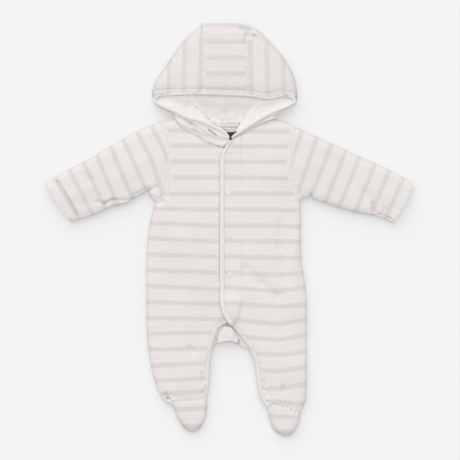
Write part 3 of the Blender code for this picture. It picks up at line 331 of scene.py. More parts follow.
# The outline runs with the garment on its left-hand side, so that inward is to the left
LEFT_BACK = ("sleeve_under_left", "gusset_left", "side_left", "heel_left", "foot_outer_left", "toe_left",
             "foot_inner_left", "leg_inner_left")
RIGHT_BACK = ("-leg_inner_right", "-foot_inner_right", "-toe_right", "-foot_outer_right", "-side_right",
              "-gusset_right", "-sleeve_under_right")
OUTLINES = {
    "left": line("shoulder_left"), "left_back": line(*LEFT_BACK), "left_lower": line(*LEFT_BACK, "crotch_left"),
    "right": line("-shoulder_right"), "right_back": line(*RIGHT_BACK),
    "right_lower": line("-crotch_right", *RIGHT_BACK), "crotch_hem": line("crotch_hem_left", "crotch_hem_right"),
    "hood": line("-hood_right", "-hood_crown", "-hood_left"),
}
BRIM = line("brim_left", "brim_centre", "brim_right")


def edge_field(points, names):
    """Distance to the nearest of the named outlines and the smoothed direction inward from it."""
    least, inward = np.full(points.shape[:-1], 1e9), zeros(points.shape)
    for name in names:
        distance, _, step, _ = to_steps(points, OUTLINES[name])
        nearest = distance.min(axis=1)
        way = unit(exp(-(distance - nearest[:, None]) / 2.0) @ (turned_left(step) / norm(step, axis=1)[:, None]))
        nearest = nearest.reshape(least.shape)
        inward = np.where((nearest < least)[..., None], way.reshape(points.shape), inward)
        least = minimum(least, nearest)
    return np.where(least < ON_EDGE, 0.0, least), inward


def with_z(points, z):
    return concatenate([points, np.broadcast_to(z, points.shape[:-1])[..., None]], axis=-1)


# %% [markdown]
# ## Puckers and soft dents
#
# Wadding pulls thread and cloth into small waves: tight ones along a gathered seam, wide ones over the belly. Waves
# that run along a seam and fade away from it make the first kind. A few broad crossed waves make the second. All of
# them are fixed sums of sines, so each run gives the same cloth.

# %% Relief of the cloth
SEAMS = {side: [part + side for part in ("armhole_", "neck_", "ankle_")] for side in SIDES}
SEAMS["hood"] = ["hood_seam_left", "hood_seam_right"]
RIPPLES = (  # seam, wave length, how far it reaches, height
    ("armhole_left", 11.0, 7.0, 0.35), ("armhole_right", 11.0, 7.0, 0.35), ("neck_left", 8.0, 9.0, 0.7),
    ("neck_right", 9.0, 8.0, 0.5), ("ankle_left", 7.0, 9.0, 0.9), ("ankle_right", 7.5, 9.0, 0.9),
    ("side_left", 19.0, 12.0, 0.4), ("side_right", 21.0, 12.0, 0.4), ("leg_inner_left", 13.0, 8.0, 0.4),
    ("leg_inner_right", 14.0, 8.0, 0.4), ("sleeve_under_left", 16.0, 11.0, 0.5),
    ("sleeve_under_right", 15.0, 11.0, 0.5), ("front_edge", 23.0, 16.0, 0.3), ("cuff_left", 12.0, 8.0, 0.3),
    ("cuff_right", 12.0, 8.0, 0.3),
)
HOOD_RIPPLES = (
    ("hood_seam_left", 13.0, 7.0, 0.35), ("hood_seam_right", 14.0, 7.0, 0.35), ("brim_left", 15.0, 9.0, 0.5),
    ("brim_right", 13.0, 10.0, 0.7), ("brim_centre", 14.0, 8.0, 0.35),
)
RIDGE_WIDTH, RIDGE_HEIGHT = 1.9, 0.8  # what a seam's allowance raises
BESIDE_RIDGE, BESIDE_WIDTH, BESIDE_DEPTH = 4.6, 1.6, 0.5  # the slight groove on both sides of that


def folds_at(points):
    """Height that the folds add."""
    return sum(height * bell(distance_to(points, array([(x0, y0), (x1, y1)], float)), width)
               for x0, y0, x1, y1, width, height in FOLDS)


def seam_dip(points, names):
    """How deep the seams pull the cloth in."""
    return 0.6 * SEAM_DIP * maximum.reduce([bell(distance_to(points, line(name)), SEAM_WIDTH) for name in names])


def seam_ridge(points, names):
    """The raised edge that a seam's allowance makes."""
    away = [distance_to(points, line(name)) for name in names]
    return RIDGE_HEIGHT * sum(bell(distance, RIDGE_WIDTH) - BESIDE_DEPTH * bell(distance - BESIDE_RIDGE, BESIDE_WIDTH)
                              for distance in away)


def ripples(points, rows):
    total = 0.0
    for name, wave, reach, height in rows:
        distance, run, _ = near_line(points, line(name))
        total = total + height * sin(2 * pi * run / wave + 1.7 * sin(run / (2.3 * wave))) * bell(distance, reach)
    return total


def dents(points):
    """Wide, shallow unevenness of the wadding."""
    x, y = points[..., 0], points[..., 1]
    wide = sin(x / 31 + 0.6 * sin(y / 47)) * sin(y / 38 + 0.8 * sin(x / 53))
    narrow = sin(x / 11.3 + 1.3 * sin(y / 17)) * sin(y / 9.1 + 1.1 * sin(x / 21))
    return 0.55 * wide + 0.22 * narrow


# %% Outer and inner faces of a wall
def seam_height(points):
    """Height of the side seam, which comes down at the toes."""
    toe = minimum(*[distance_to(points, line("toe_seam_" + side)) for side in SIDES])
    return SIDE_SEAM_Z - TOE_DIP * bell(toe, TOE_REACH)


def faces_of(points, distance, inward, outer, inner, seam=None):
    """A wall's two faces. The inner one lies further in at the edge, which gives the cloth its thickness there."""
    if seam is not None:
        outer = maximum(outer, seam)
        inner = maximum(minimum(inner, outer - LEAST_WALL * smooth(distance / EDGE_WALL)), seam)
    shift = EDGE_WALL * exp(-distance / EDGE_REACH)
    return with_z(points, outer), with_z(points + inward * shift[..., None], inner)


def upper(points, side, relief=True):
    """A wall of the garment's upper side, with its folds."""
    distance, inward = edge_field(points, (side, side + "_lower"))
    seam = seam_height(points)
    level = BODY_ROLL_TOP + (BODY_TOP - BODY_ROLL_TOP) * smooth((distance - BODY_ROLL / 2) / BODY_SPREAD)
    outer = seam + (level - seam) * roll(distance / BODY_ROLL)
    outer += folds_at(points) * smooth(distance / FOLD_FADE)
    outer -= seam_dip(points, SEAMS[side]) * smooth(distance / DIP_FADE)
    if relief:
        outer += (ripples(points, RIPPLES) + dents(points)) * smooth(distance / RIPPLE_FADE)
        outer += seam_ridge(points, SEAMS[side]) * smooth(distance / RIDGE_FADE)
    inner = seam + (SIDE_SEAM_Z + FRONT_INSIDE - seam) * smooth(distance / INSIDE_ROLL)
    return faces_of(points, distance, inward, outer, inner, seam)


def lower(points, names):
    """A wall that lies on the floor."""
    distance, inward = edge_field(points, names)
    edge = seam_height(points) - CROTCH_DIP * bell(distance_to(points, OUTLINES["crotch_hem"]), CROTCH_REACH)
    inner = edge + (SIDE_SEAM_Z - BACK_INSIDE - edge) * smooth(distance / INSIDE_ROLL)
    return faces_of(points, distance, inward, edge - edge * roll(distance / FLOOR_ROLL), inner)


def hood_upper(points):
    """The hood's upper layer."""
    distance, inward = edge_field(points, ("hood",))
    level = HOOD_ROLL_TOP + (HOOD_TOP - HOOD_ROLL_TOP) * smooth((distance - HOOD_ROLL / 2) / HOOD_SPREAD)
    outer = HOOD_SEAM_Z + (level - HOOD_SEAM_Z) * roll(distance / HOOD_ROLL)
    outer += folds_at(points) * smooth(distance / HOOD_FOLD_FADE)
    outer -= seam_dip(points, SEAMS["hood"]) * smooth(distance / DIP_FADE)
    brim = distance_to(points, BRIM)
    outer -= BRIM_GROOVE * bell(brim - BRIM_HEM, GROOVE_WIDTH) + BRIM_DROP * bell(brim, BRIM_REACH)
    outer += (ripples(points, HOOD_RIPPLES) + 0.8 * dents(points)) * smooth(distance / HOOD_RIPPLE_FADE)
    outer += seam_ridge(points, SEAMS["hood"]) * smooth(distance / RIDGE_FADE)
    inner = HOOD_SEAM_Z + (level - HOOD_WALL - HOOD_SEAM_Z) * smooth(distance / HOOD_INSIDE_ROLL)
    return faces_of(points, distance, inward, outer, inner, HOOD_SEAM_Z)


def hood_lower(points):
    """The hood's layer on the floor."""
    distance, inward = edge_field(points, ("hood",))
    return faces_of(points, distance, inward, HOOD_SEAM_Z - HOOD_SEAM_Z * roll(distance / HOOD_FLOOR_ROLL),
                    HOOD_SEAM_Z - (HOOD_SEAM_Z - HOOD_WALL) * smooth(distance / HOOD_FLOOR_ROLL))


# %% [markdown]
# ## Stripes
#
# The stripes are knitted in, so they bend with the cloth. Each table row below is one stripe, as a line over its
# panel. A point between two stripes gets a number between theirs, from how far it is to each. That number is stored
# in the panel's UV map, and the velour reads it to know where it is in the repeat.

# %% Where each stripe runs
REPEAT = 27.8  # from stripe to stripe
BEYOND = 120  # how far a stripe's line is made longer at both ends
LEFT_STRIPES = (  # y at the side seam and at the front edge
    (172.4, 172.4), (146.7, 146.7), (119.2, 119.2), (90.7, 90.7), (62.1, 62.1), (36.6, 34.1), (11.7, 6.1),
    (-15.6, -21.4), (-43.6, -48.1), (-70.9, -76.1), (-98.9, -104.8), (-126.9, -130.4), (-154.9, -156.6),
    (-182, -179.4), (-209.7, -207.4), (-238.9, -231.9), (-265.8, -258.8), (-288.9, -278.9), (-317.1, -310.6),
    (-345.6, -344),
)
RIGHT_STRIPES = (  # y at the front edge, halfway, and at the side seam
    (171.3, 171.3, 171.3), (145.6, 145.6, 145.6), (118.1, 118.1, 118.1), (90.7, 89.6, 88.4), (63, 62.6, 62.1),
    (35.9, 34.3, 32.7), (7.2, 6.3, 5.3), (-20.1, -21, -21.9), (-47.4, -49, -50.6), (-75.6, -79.6, -76.1),
    (-100.6, -107.6, -100.6), (-128.6, -134.9, -132.8), (-154.9, -165.4, -159.1), (-185.2, -193.4, -185.2),
    (-215.6, -218.6, -214.4), (-240.6, -247.6, -241.7), (-268.6, -279.1, -270.4), (-295.9, -301.9, -305.4),
    (-319.4, -327.3, -328.1), (-345.6, -354.4, -352),
)
LEFT_SLEEVE_STRIPES = (  # x, y, x, y and so on along the stripe, from the shoulder down
    (-133.4, 175.9, -107.2, 123.4), (-157.9, 163.6, -135.2, 121.6, -120.3, 69.1), (-182.4, 149.6, -148.3, 76.1),
    (-205.2, 139.1, -171.9, 62.1), (-229.7, 124.4, -201.7, 56.9), (-251.6, 112, -223.4, 50.9),
    (-277.3, 99.4, -243.7, 35.9), (-300.7, 83.8, -262.9, 20.1),
)
RIGHT_SLEEVE_STRIPES = (
    (125.6, 168.9, 109.8, 121.6), (152.5, 158.9, 120.3, 63.9), (178.1, 147.9, 148.3, 70.9),
    (203.3, 136.7, 168.4, 49.9), (227.1, 125.1, 191.4, 37.6), (254.2, 112.9, 221.8, 34.1),
    (277.8, 98.9, 258.6, 53.4, 251.6, 30.6), (304.1, 88.4, 276.1, 27.1),
)
HOOD_CENTRE_STRIPES = (355.8, 328.1, 300.6, 272.1, 246.6)  # y
HOOD_LEFT_STRIPES = ((-47.0, -52.1), (-77.4, -79.6), (-103.8, -105.2))  # x at the crown and at the brim
HOOD_RIGHT_STRIPES = ((36.8, 39.4), (64.9, 67.2), (93.4, 95.9))


def across(rows, xs):
    """Stripes that run across a panel, as lines from left to right."""
    return [np.column_stack([xs, row]) for row in rows]


STRIPES = {
    "front_left": across(LEFT_STRIPES, (-140, -15)), "front_right": across(RIGHT_STRIPES, (-10, 85, 130)),
    "sleeve_left": [array(row).reshape(-1, 2) for row in LEFT_SLEEVE_STRIPES],
    "sleeve_right": [array(row).reshape(-1, 2)[::-1] for row in RIGHT_SLEEVE_STRIPES],
    "hood_centre": across([(y, y) for y in HOOD_CENTRE_STRIPES], (-50, 40)),
    "hood_left": [array([(a, 345.0), (b, 236.0)]) for a, b in HOOD_LEFT_STRIPES],
    "hood_right": [array([(b, 236.0), (a, 345.0)]) for a, b in HOOD_RIGHT_STRIPES],
    "back": across([(172 - REPEAT * k,) * 2 for k in range(20)], (-140, 140)),
}
STRIPES["foot_left"], STRIPES["foot_right"] = STRIPES["front_left"], STRIPES["front_right"]
PLAIN = {  # panel: seams, and how wide the cream strip beside each is
    "front_left": (("armhole_left", 4.5), ("leg_inner_left", 5.5), ("crotch_left", 6.0)),
    "front_right": (("armhole_right", 5.5),), "sleeve_left": (("armhole_left", 2.0),),
    "sleeve_right": (("armhole_right", 3.0),), "hood_centre": (("hood_seam_left", 4.2), ("hood_seam_right", 2.2)),
}


def stripe_number(points, rows):
    """Each place's number between the stripes, and how far it is along them, both for a UV map."""
    sides, runs = [], []
    for row in rows:
        longer = vstack([row[0] + BEYOND * unit(row[0] - row[1]), row, row[-1] + BEYOND * unit(row[-1] - row[-2])])
        distance, run, side = near_line(points, longer)
        sides.append(-side * distance)
        runs.append(run)
    sides = array(sides)
    passed = (sides >= 0).sum(axis=0)
    low = clip(passed - 1, 0, len(rows) - 2)
    first, second = (np.take_along_axis(sides, (low + k)[None], axis=0)[0] for k in (0, 1))
    between = low + first / maximum(first - second, 1e-6)
    number = np.where(passed == 0, sides[0] / REPEAT,
                      np.where(passed == len(rows), len(rows) - 1 + sides[-1] / REPEAT, between))
    return stack([number, np.mean(runs, axis=0) * MM], axis=-1)


def plain_beside(points, panel_name):
    """One beside a panel's seams, where its stripes fade, and zero away from them."""
    total = zeros(points.shape[:-1])
    for name, width in PLAIN.get(panel_name, ()):
        distance, run, _ = near_line(points, line(name))
        total = maximum(total, smooth((width - distance + 0.5 * sin(run / 7)) / 1.6 + 0.5))
    if panel_name == "hood_left":
        total = smooth((-117 - points[..., 0]) / 4)
    if panel_name == "hood_right":
        total = smooth((points[..., 1] - 331.5) / 3)
    return total


# %% [markdown]
# ## From grids to a closed wall of cloth
#
# A wall is an outer and an inner grid. Grids that meet, such as the upper and lower sides of a sleeve, share their
# points there, so the cloth has no crack along the fold. The free edges get a rim.

# %% Build a wall
SHARP_ANGLE = 55  # a raw edge turns more than this from face to face; folds and gathers turn less
FULL_SHADE_SLOPE = 0.55  # one less the upright part of a cloth's normal, where the painted shade on sloping cloth is full
SAME_PLACE = 0.02  # points nearer than this are one


def closed_mesh(name, places, faces):
    """A mesh in metres from places in millimetres, with its faces turned outwards."""
    mesh = bpy.data.meshes.new(name)
    mesh.from_pydata((places * MM).tolist(), [], faces)
    bm = bmesh.new()
    bm.from_mesh(mesh)
    bmesh.ops.recalc_face_normals(bm, faces=bm.faces[:])
    if bm.calc_volume(signed=True) < 0:
        bmesh.ops.reverse_faces(bm, faces=bm.faces[:])
    bm.to_mesh(mesh)
    bm.free()
    return mesh


def place_in_scene(name, data):
    made = bpy.data.objects.new(name, data)
    bpy.context.scene.collection.objects.link(made)
    return made


def set_values(mesh, name, values):
    """Stores a number with each point of a mesh, for its material."""
    mesh.attributes.new(name, "FLOAT", "POINT").data.foreach_set("value", values)


def finished(name, mesh, finish, node=None):
    """Puts a mesh into the scene with its material, smooth, riding on the garment's one body.

    node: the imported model's node that it replaces.
    """
    mesh.materials.clear()
    mesh.materials.append(finish)
    mesh.shade_smooth()
    mesh.set_sharp_from_angle(angle=math.radians(SHARP_ANGLE))
    # how far each point's cloth slopes from upright, which the velour reads to paint shade on rolled edges and folds
    normals = np.empty(len(mesh.vertices) * 3)
    mesh.vertices.foreach_get("normal", normals)
    set_values(mesh, "turned", smooth((1 - abs(normals.reshape(-1, 3)[:, 2])) / FULL_SHADE_SLOPE))
    made = place_in_scene(name, mesh)
    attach(made, "root")
    if node:
        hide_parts(node)
    print(name, len(mesh.polygons), "faces")
    return made


def wall(name, node, pairs, finish, panel_name=None, uv=None):
    """A closed wall from pairs of outer and inner grids.

    panel_name: whose stripes it has. uv: a grid of UV places instead, for a wall that is one pair.
    """
    outer, inner = [vstack([pair[face].reshape(-1, 3) for pair in pairs]) for face in (0, 1)]
    keys = np.round(outer / SAME_PLACE).astype(np.int64)
    _, first, which = np.unique(keys, axis=0, return_index=True, return_inverse=True)
    which = which.ravel()
    count = len(first)
    faces, start = [], 0
    for rows, columns in [pair[0].shape[:2] for pair in pairs]:
        index = which[start:start + rows * columns].reshape(rows, columns)
        start += rows * columns
        corners = stack([index[:-1, :-1], index[:-1, 1:], index[1:, 1:], index[1:, :-1]], axis=-1)
        rings = [list(dict.fromkeys(ring)) for ring in corners.reshape(-1, 4).tolist()]
        faces += [ring for ring in rings if len(ring) > 2]
    uses = {}
    for ring in faces:
        for a, b in zip(ring, ring[1:] + ring[:1]):
            key = (min(a, b), max(a, b))
            uses[key] = uses.get(key, 0) + 1
    rim = [[a, b, b + count, a + count] for (a, b), n in uses.items() if n == 1]
    inside = [[corner + count for corner in ring[::-1]] for ring in faces]
    mesh = closed_mesh(name, vstack([outer[first], inner[first]]), faces + inside + rim)
    grids = [pair[0][..., :2] for pair in pairs]
    if panel_name:
        uv = vstack([stripe_number(grid, STRIPES[panel_name]).reshape(-1, 2) for grid in grids])
    if uv is not None:
        corner = np.empty(len(mesh.loops), dtype=np.int64)
        mesh.loops.foreach_get("vertex_index", corner)
        uv = np.tile(uv.reshape(-1, 2)[first], (2, 1))[corner]
        mesh.uv_layers.new(name="stripes").data.foreach_set("uv", uv.ravel())
    fade = concatenate([plain_beside(grid, panel_name).ravel() for grid in grids])[first]
    set_values(mesh, "plain", np.tile(fade, 2))
    return finished(name, mesh, finish, node)


def slab(name, node, grid, low, high, finish, uv=None):
    """A closed piece over a grid of places, between two heights or grids of heights."""
    return wall(name, node, [(with_z(grid, high), with_z(grid, low))], finish, uv=uv)


# %% [markdown]
# ## Finishes
#
# Velour is a knitted pile, cut short. It has no gloss, a soft bright rim where the pile stands against the light, and
# fine ribs along the knitting. The wadding below leaves it slightly cloudy. The lining and binding are plain jersey:
# finer, flatter and a little warmer. The poppers are moulded nylon, pale and satin.

# Where it slopes away from upright, the velour is painted darker, as painted shade.
# %% Colours and nodes
def from_hex(code):
    """An sRGB colour as linear light, with alpha."""
    values = [int(code[i:i + 2], 16) / 255 for i in (0, 2, 4)]
    return [v / 12.92 if v <= 0.04045 else ((v + 0.055) / 1.055) ** 2.4 for v in values] + [1.0]


def add(tree, kind, settings=None, **inputs):
    """Adds a node, sets its settings, and sets or links its inputs by name or number."""
    node = tree.nodes.new(kind)
    for key, value in (settings or {}).items():
        setattr(node, key, value)
    for key, value in inputs.items():
        socket = node.inputs[int(key[1:])] if key[0] == "_" else node.inputs[key.replace("_", " ")]
        if isinstance(value, bpy.types.NodeSocket):
            tree.links.new(value, socket)
        else:
            socket.default_value = value
    return node


def calc(tree, how, *values):
    """What a maths node makes of its inputs."""
    inputs = {f"_{i}": value for i, value in enumerate(values)}
    return add(tree, "ShaderNodeMath", {"operation": how}, **inputs).outputs[0]


def noise(tree, place, scale, detail=2.0):
    return add(tree, "ShaderNodeTexNoise", Vector=place, Scale=scale, Detail=detail).outputs["Fac"]


def around(tree, value, middle, depth):
    """Turns a value from 0 to 1 into one that swings about a middle."""
    return calc(tree, "MULTIPLY_ADD", value, depth, middle - depth / 2)


def stored(tree, name):
    return add(tree, "ShaderNodeAttribute", {"attribute_name": name}).outputs["Fac"]


def start_material(name, roughness, sheen, specular=0.2):
    """A Principled material with its number settings on the shader's own sockets, and the object's coordinates."""
    made = bpy.data.materials.new(name)
    made.use_nodes = True
    tree = made.node_tree
    shader = tree.nodes["Principled BSDF"]
    for socket, value in {"Roughness": roughness, "Sheen Weight": sheen, "Sheen Roughness": 0.5,
                          "Specular IOR Level": specular}.items():
        shader.inputs[socket].default_value = value
    return made, tree, shader, add(tree, "ShaderNodeTexCoord").outputs["Object"]


def paint(tree, shader, base, tone):
    """The shader's colour: a base made lighter or darker by a tone."""
    shade = add(tree, "ShaderNodeVectorMath", {"operation": "SCALE"}, _0=base, Scale=tone)
    tree.links.new(shade.outputs[0], shader.inputs["Base Color"])


def emboss(tree, shader, strength, distance, height):
    bump = add(tree, "ShaderNodeBump", Strength=strength, Distance=distance, Height=height)
    tree.links.new(bump.outputs["Normal"], shader.inputs["Normal"])


# %% Striped velour
SLOPE_SHADE = 0.17  # how much darker the velour is painted where it slopes: painted shade of rolled edges and folds
STRIPE_SHARE, STRIPE_EDGE = 0.30, 0.065  # of the repeat
BANDS, RIBS = 2 * pi * 4.5, 2 * pi * 12  # in each repeat: 6 mm bands of the knitting, and 2.3 mm ribs
BAND_TONE, RIB_HEIGHT = 0.022, 0.22  # the bands' share of the tone and the ribs' height beside the pile's


def make_velour(name, cream="E9E4E2", mauve="DCD3D3", strength=1.0):
    """Cut velour with knitted-in stripes. The UV map's first number counts the stripes."""
    made, tree, shader, place = start_material(name, 0.92, 0.3)
    uv = add(tree, "ShaderNodeUVMap", {"uv_map": "stripes"}).outputs["UV"]
    sway = around(tree, noise(tree, place, 45.0), 0, 0.05)  # 22 mm waves
    fuzz = around(tree, noise(tree, place, 600.0), 0, 0.10)  # the pile blurs the edge
    number = add(tree, "ShaderNodeSeparateXYZ", Vector=uv).outputs["X"]
    number = calc(tree, "ADD", number, calc(tree, "ADD", sway, fuzz))
    cycle = calc(tree, "FRACT", calc(tree, "ADD", number, 0.5))
    off = calc(tree, "ABSOLUTE", calc(tree, "SUBTRACT", cycle, 0.5))
    band = add(tree, "ShaderNodeMapRange", {"interpolation_type": "SMOOTHSTEP"}, Value=off,
               From_Min=STRIPE_SHARE / 2 + STRIPE_EDGE, From_Max=STRIPE_SHARE / 2 - STRIPE_EDGE).outputs["Result"]
    shown = calc(tree, "MULTIPLY_ADD", stored(tree, "plain"), -strength, strength)
    mix = add(tree, "ShaderNodeMix", {"data_type": "RGBA"}, Factor=calc(tree, "MULTIPLY", band, shown),
              A=from_hex(cream), B=from_hex(mauve))
    cloud = around(tree, noise(tree, place, 28.0, 3.0), 1, 0.10)  # 36 mm clouds of the wadding
    tuft = around(tree, noise(tree, place, 420.0, 3.0), 0, 0.10)  # 2.4 mm tufts, coarser than real pile
    rows = calc(tree, "SINE", calc(tree, "MULTIPLY", number, BANDS))
    rows = calc(tree, "MULTIPLY", rows, noise(tree, place, 60.0))
    tone = calc(tree, "MULTIPLY_ADD", rows, BAND_TONE, calc(tree, "ADD", cloud, tuft))
    tone = calc(tree, "MULTIPLY_ADD", stored(tree, "turned"), -SLOPE_SHADE, tone)  # painted shade: darker where the cloth slopes away from upright
    paint(tree, shader, mix.outputs["Result"], tone)
    ribs = calc(tree, "SINE", calc(tree, "MULTIPLY", number, RIBS))
    height = calc(tree, "MULTIPLY_ADD", ribs, RIB_HEIGHT, noise(tree, place, 1400.0))  # 0.7 mm pile
    emboss(tree, shader, 0.35, 0.0006, height)
    return made


VELOUR = make_velour("striped cut velour", strength=0.83)
# the hood's copy: its cream painted a shade darker, as painted shade for the dimmer light on the hood, and its mauve a
# little lighter
VELOUR_HOOD_SHADED = make_velour("striped cut velour of the hood", cream="E7E2E0", mauve="DFD7D7")
VELOUR_PLAIN = make_velour("cut velour at the neck", strength=0.5)


# %% Jersey, binding, label, nylon and thread
def make_jersey(name, code, rib, cloud_depth=0.08):
    """Fine knitted jersey: vertical ribs so many millimetres apart, and a soft unevenness."""
    made, tree, shader, place = start_material(name, 0.9, 0.08)
    wave = add(tree, "ShaderNodeTexWave", {"bands_direction": "X"}, Vector=place, Scale=1000 / rib / pi,
               Distortion=1.5, Detail=1.0).outputs["Fac"]
    tone = around(tree, noise(tree, place, 60.0, 3.0), 1, cloud_depth)
    paint(tree, shader, from_hex(code)[:3], calc(tree, "MULTIPLY_ADD", wave, 0.04, tone))
    emboss(tree, shader, 0.3, 0.0004, wave)
    return made


def make_even(name, code, roughness, sheen, scale, detail, depth, specular=0.2, bump=0.0):
    """A single colour that is lighter and darker in specks or clouds."""
    made, tree, shader, place = start_material(name, roughness, sheen, specular)
    speck = noise(tree, place, scale, detail)
    paint(tree, shader, from_hex(code)[:3], around(tree, speck, 1, depth))
    if bump:
        emboss(tree, shader, bump, 0.0003, speck)
    return made


JERSEY = make_jersey("cream cotton jersey", "EBE7E5", 1.6)
BINDING = make_jersey("jersey binding", "E7E3E0", 1.3, cloud_depth=0.05)
TAPE = make_jersey("woven neck tape", "E2DFDE", 1.1)
LABEL = make_jersey("dark woven label", "3A423D", 0.9)
# moulded nylon of the poppers: pale and satin
NYLON = make_even("moulded nylon", "E7E2E1", 0.38, 0.0, 700.0, 2.0, 0.06, specular=0.5, bump=0.15)
# spun polyester thread, a shade darker than the cloth, matt
THREAD = make_even("sewing thread", "D6CEC9", 0.7, 0.1, 2500.0, 1.0, 0.2)
print("materials:", [made.name for made in bpy.data.materials])

# %% [markdown]
# ## The fronts
#
# The left front carries the underlap and the right front laps over it. Both run in one piece from the shoulder to the
# ankle. The lap is what makes the dark line down the middle, so the right front is held just above the left one.

# %% Shares of a panel's width or length where its grid has lines
BOTH_ROLLED = (0, 0.02, 0.07, 0.15, 0.27, 0.42, 0.58, 0.73, 0.85, 0.93, 0.98, 1)
LEG = (0, 0.02, 0.06, 0.13, 0.22, 0.34, 0.5, 0.64, 0.76, 0.86, 0.93, 0.98, 1)
BACK_LEG = array([0, 0.03, 0.11, 0.24, 0.42, 0.62, 0.8, 0.94, 1])
LEFT_CHEST = (0, 0.014, 0.045, 0.1, 0.19, 0.33, 0.5, 0.66, 0.74, 0.79, 0.815, 0.85, 1)
RIGHT_CHEST = (0, 0, 0, 0, 0.13, 0.2, 0.3, 0.46, 0.65, 0.81, 0.91, 0.96, 0.987, 1)
RIGHT_LEG = array([0, 0, 0, 0, 0.14, 0.26, 0.42, 0.58, 0.73, 0.85, 0.93, 0.98, 0.994, 1])
FRONT_TOP = {  # the lines of each front's top edge
    "left": (("-shoulder_part_left", (0, 0.2, 0.5, 1)),
             ("neck_left", (0, 0.08, 0.2, 0.32, 0.44, 0.56, 0.68, 0.8, 0.9, 1))),
    "right": (("neck_right", (0, 0.014, 0.045, 0.08, 0.2, 0.35, 0.5, 0.65, 0.82, 1)),
              ("shoulder_part_right", (0, 0.25, 0.5, 0.75, 1))),
}
BELOW_ARM = {"left": line("side_left", "heel_left"), "right": line("side_right")}
LEG_START, LEG_BLEND = -150, 45  # y where the shares start to turn into the leg's, and over how far
TOP_BLEND = 0.12  # the share of the height over which they turn from the neck's places
LAP_START, LAP_EASE, LAP_END = 0.9, 2.6, -172  # where the left front is pressed flat; the last is the lowest y
RAISED_END, RAISED_CLEAR, RAISED_WALL = -167, 1.8, 2.5  # y, and the right front's clearance and thickness there


def in_parts(parts, times):
    """Places along lines end to end, each line with its own shares."""
    return joined(*[along(line(name), refine(shares, times)) for name, shares in parts])


def kept(pair, limit, z):
    """Keeps both faces of a wall above a height, where limit is maximum, or under it, where that is minimum."""
    return tuple(with_z(face[..., :2], limit(face[..., 2], z)) for face in pair)


def front_grid(side):
    """The left or right front as a grid of places, down from the shoulder to the ankle."""
    below = refine(concatenate([[0, 0.012, 0.035], linspace(0.07, 0.96, 19), [1]]), FINE)
    outer_side = joined(in_parts([("armhole_" + side, BOTH_ROLLED)], FINE), along(BELOW_ARM[side], below))
    rows = share_of_drop(outer_side)
    top = in_parts(FRONT_TOP[side], FINE)
    edge = "-underlap" if side == "left" else "-front_edge"
    inner_side = down(line(edge, "-crotch_" + side, "-leg_inner_" + side), rows)
    left, right, chest, leg = outer_side, inner_side, LEFT_CHEST, LEG
    steps = zeros(len(chest))
    if side == "right":
        left, right, chest, leg = inner_side, outer_side, RIGHT_CHEST, RIGHT_LEG
        steps = concatenate([[0], BINDING_STEPS, zeros(len(chest) - 4)])
    chest, leg, steps = [refine(shares, FINE) for shares in (chest, leg, steps)]
    bound = steps / norm(right - left, axis=1)[:, None]
    shares = chest + (leg - chest) * smooth((LEG_START - inner_side[:, 1:]) / LEG_BLEND) + bound
    at_top = share_of_run(top)
    shares = at_top + (shares - at_top) * smooth(rows / TOP_BLEND)[:, None]
    shares[-1] = leg + bound[-1]
    return panel(top, line("ankle_" + side), left, right, shares)


def left_faces(points, relief=True):
    """The left front's faces, pressed flat where the right front laps over it."""
    outer, inner = upper(points, "left", relief)
    x, y = points[..., 0], points[..., 1]
    reach = LAP_START + 8 * smooth((-125 - y) / 25)
    past = x - x_at(line("-front_edge", "-crotch_right"), y)
    lapped = smooth((past + LAP_EASE + reach) / LAP_EASE) * (y > LAP_END)
    outer[..., 2] += (LAP_TOP - outer[..., 2]) * lapped * (outer[..., 2] > LAP_TOP)
    return outer, inner


def under_lap(points):
    """Height of the left front's outer face, or the side seams' height where it has none."""
    x, y = points[..., 0], points[..., 1]
    low = smooth((-112 - y) / 12)
    inside = smooth((x_at(line("-underlap"), y) - x + 14 + 12 * low) / (7 + 12 * low)) * (y > RAISED_END)
    clear = 2 * SEAM_GAP + RAISED_CLEAR * low
    return SIDE_SEAM_Z + (left_faces(points, False)[0][..., 2] + clear - SIDE_SEAM_Z) * inside


def right_faces(points):
    """The right front's faces, raised over the left front where they lap."""
    outer, inner = upper(points, "right")
    over = under_lap(inner[..., :2])
    inner[..., 2] = maximum(inner[..., 2], over)
    outer[..., 2] = maximum(outer[..., 2], inner[..., 2] + RAISED_WALL * smooth((over - SIDE_SEAM_Z) / 2))
    return outer, inner


# %% Make the fronts
def make_front(side):
    grid = pull_in(pull_in(front_grid(side), row=0), row=-1)
    outer, inner = left_faces(grid) if side == "left" else right_faces(grid)
    if side == "left":
        thick = 2.2 * smooth(edge_field(grid, ("left_lower",))[0] / 4)
        inner[..., 2] = minimum(inner[..., 2], outer[..., 2] - thick)
    faces = kept((outer, inner), maximum, SIDE_SEAM_Z + SEAM_GAP / 2)
    return wall("velour_front_" + side, "front_" + side, [faces], VELOUR, "front_" + side), faces


front_left, left_cloth = make_front("left")
front_right, right_cloth = make_front("right")

# %% [markdown]
# ## Bindings of the front edge and the leg
#
# A strip of jersey is folded over the raw edge and stitched down. It is made from the front's own edge points, moved
# out, so it follows every ripple of the cloth under it.

# %% Make the edge bindings
THIN = 0.35  # the strip where it goes under the other front
LEG_BINDING_TOP = -157  # y


def beside_edge(cloth, widths):
    """The cloth's rows again, from their first point to so many millimetres from it."""
    return array([picked(width * refine((0, 0.15, 0.55, 1), FINE), run_of(row[:, :2]), row)
                  for row, width in zip(cloth, widths)])


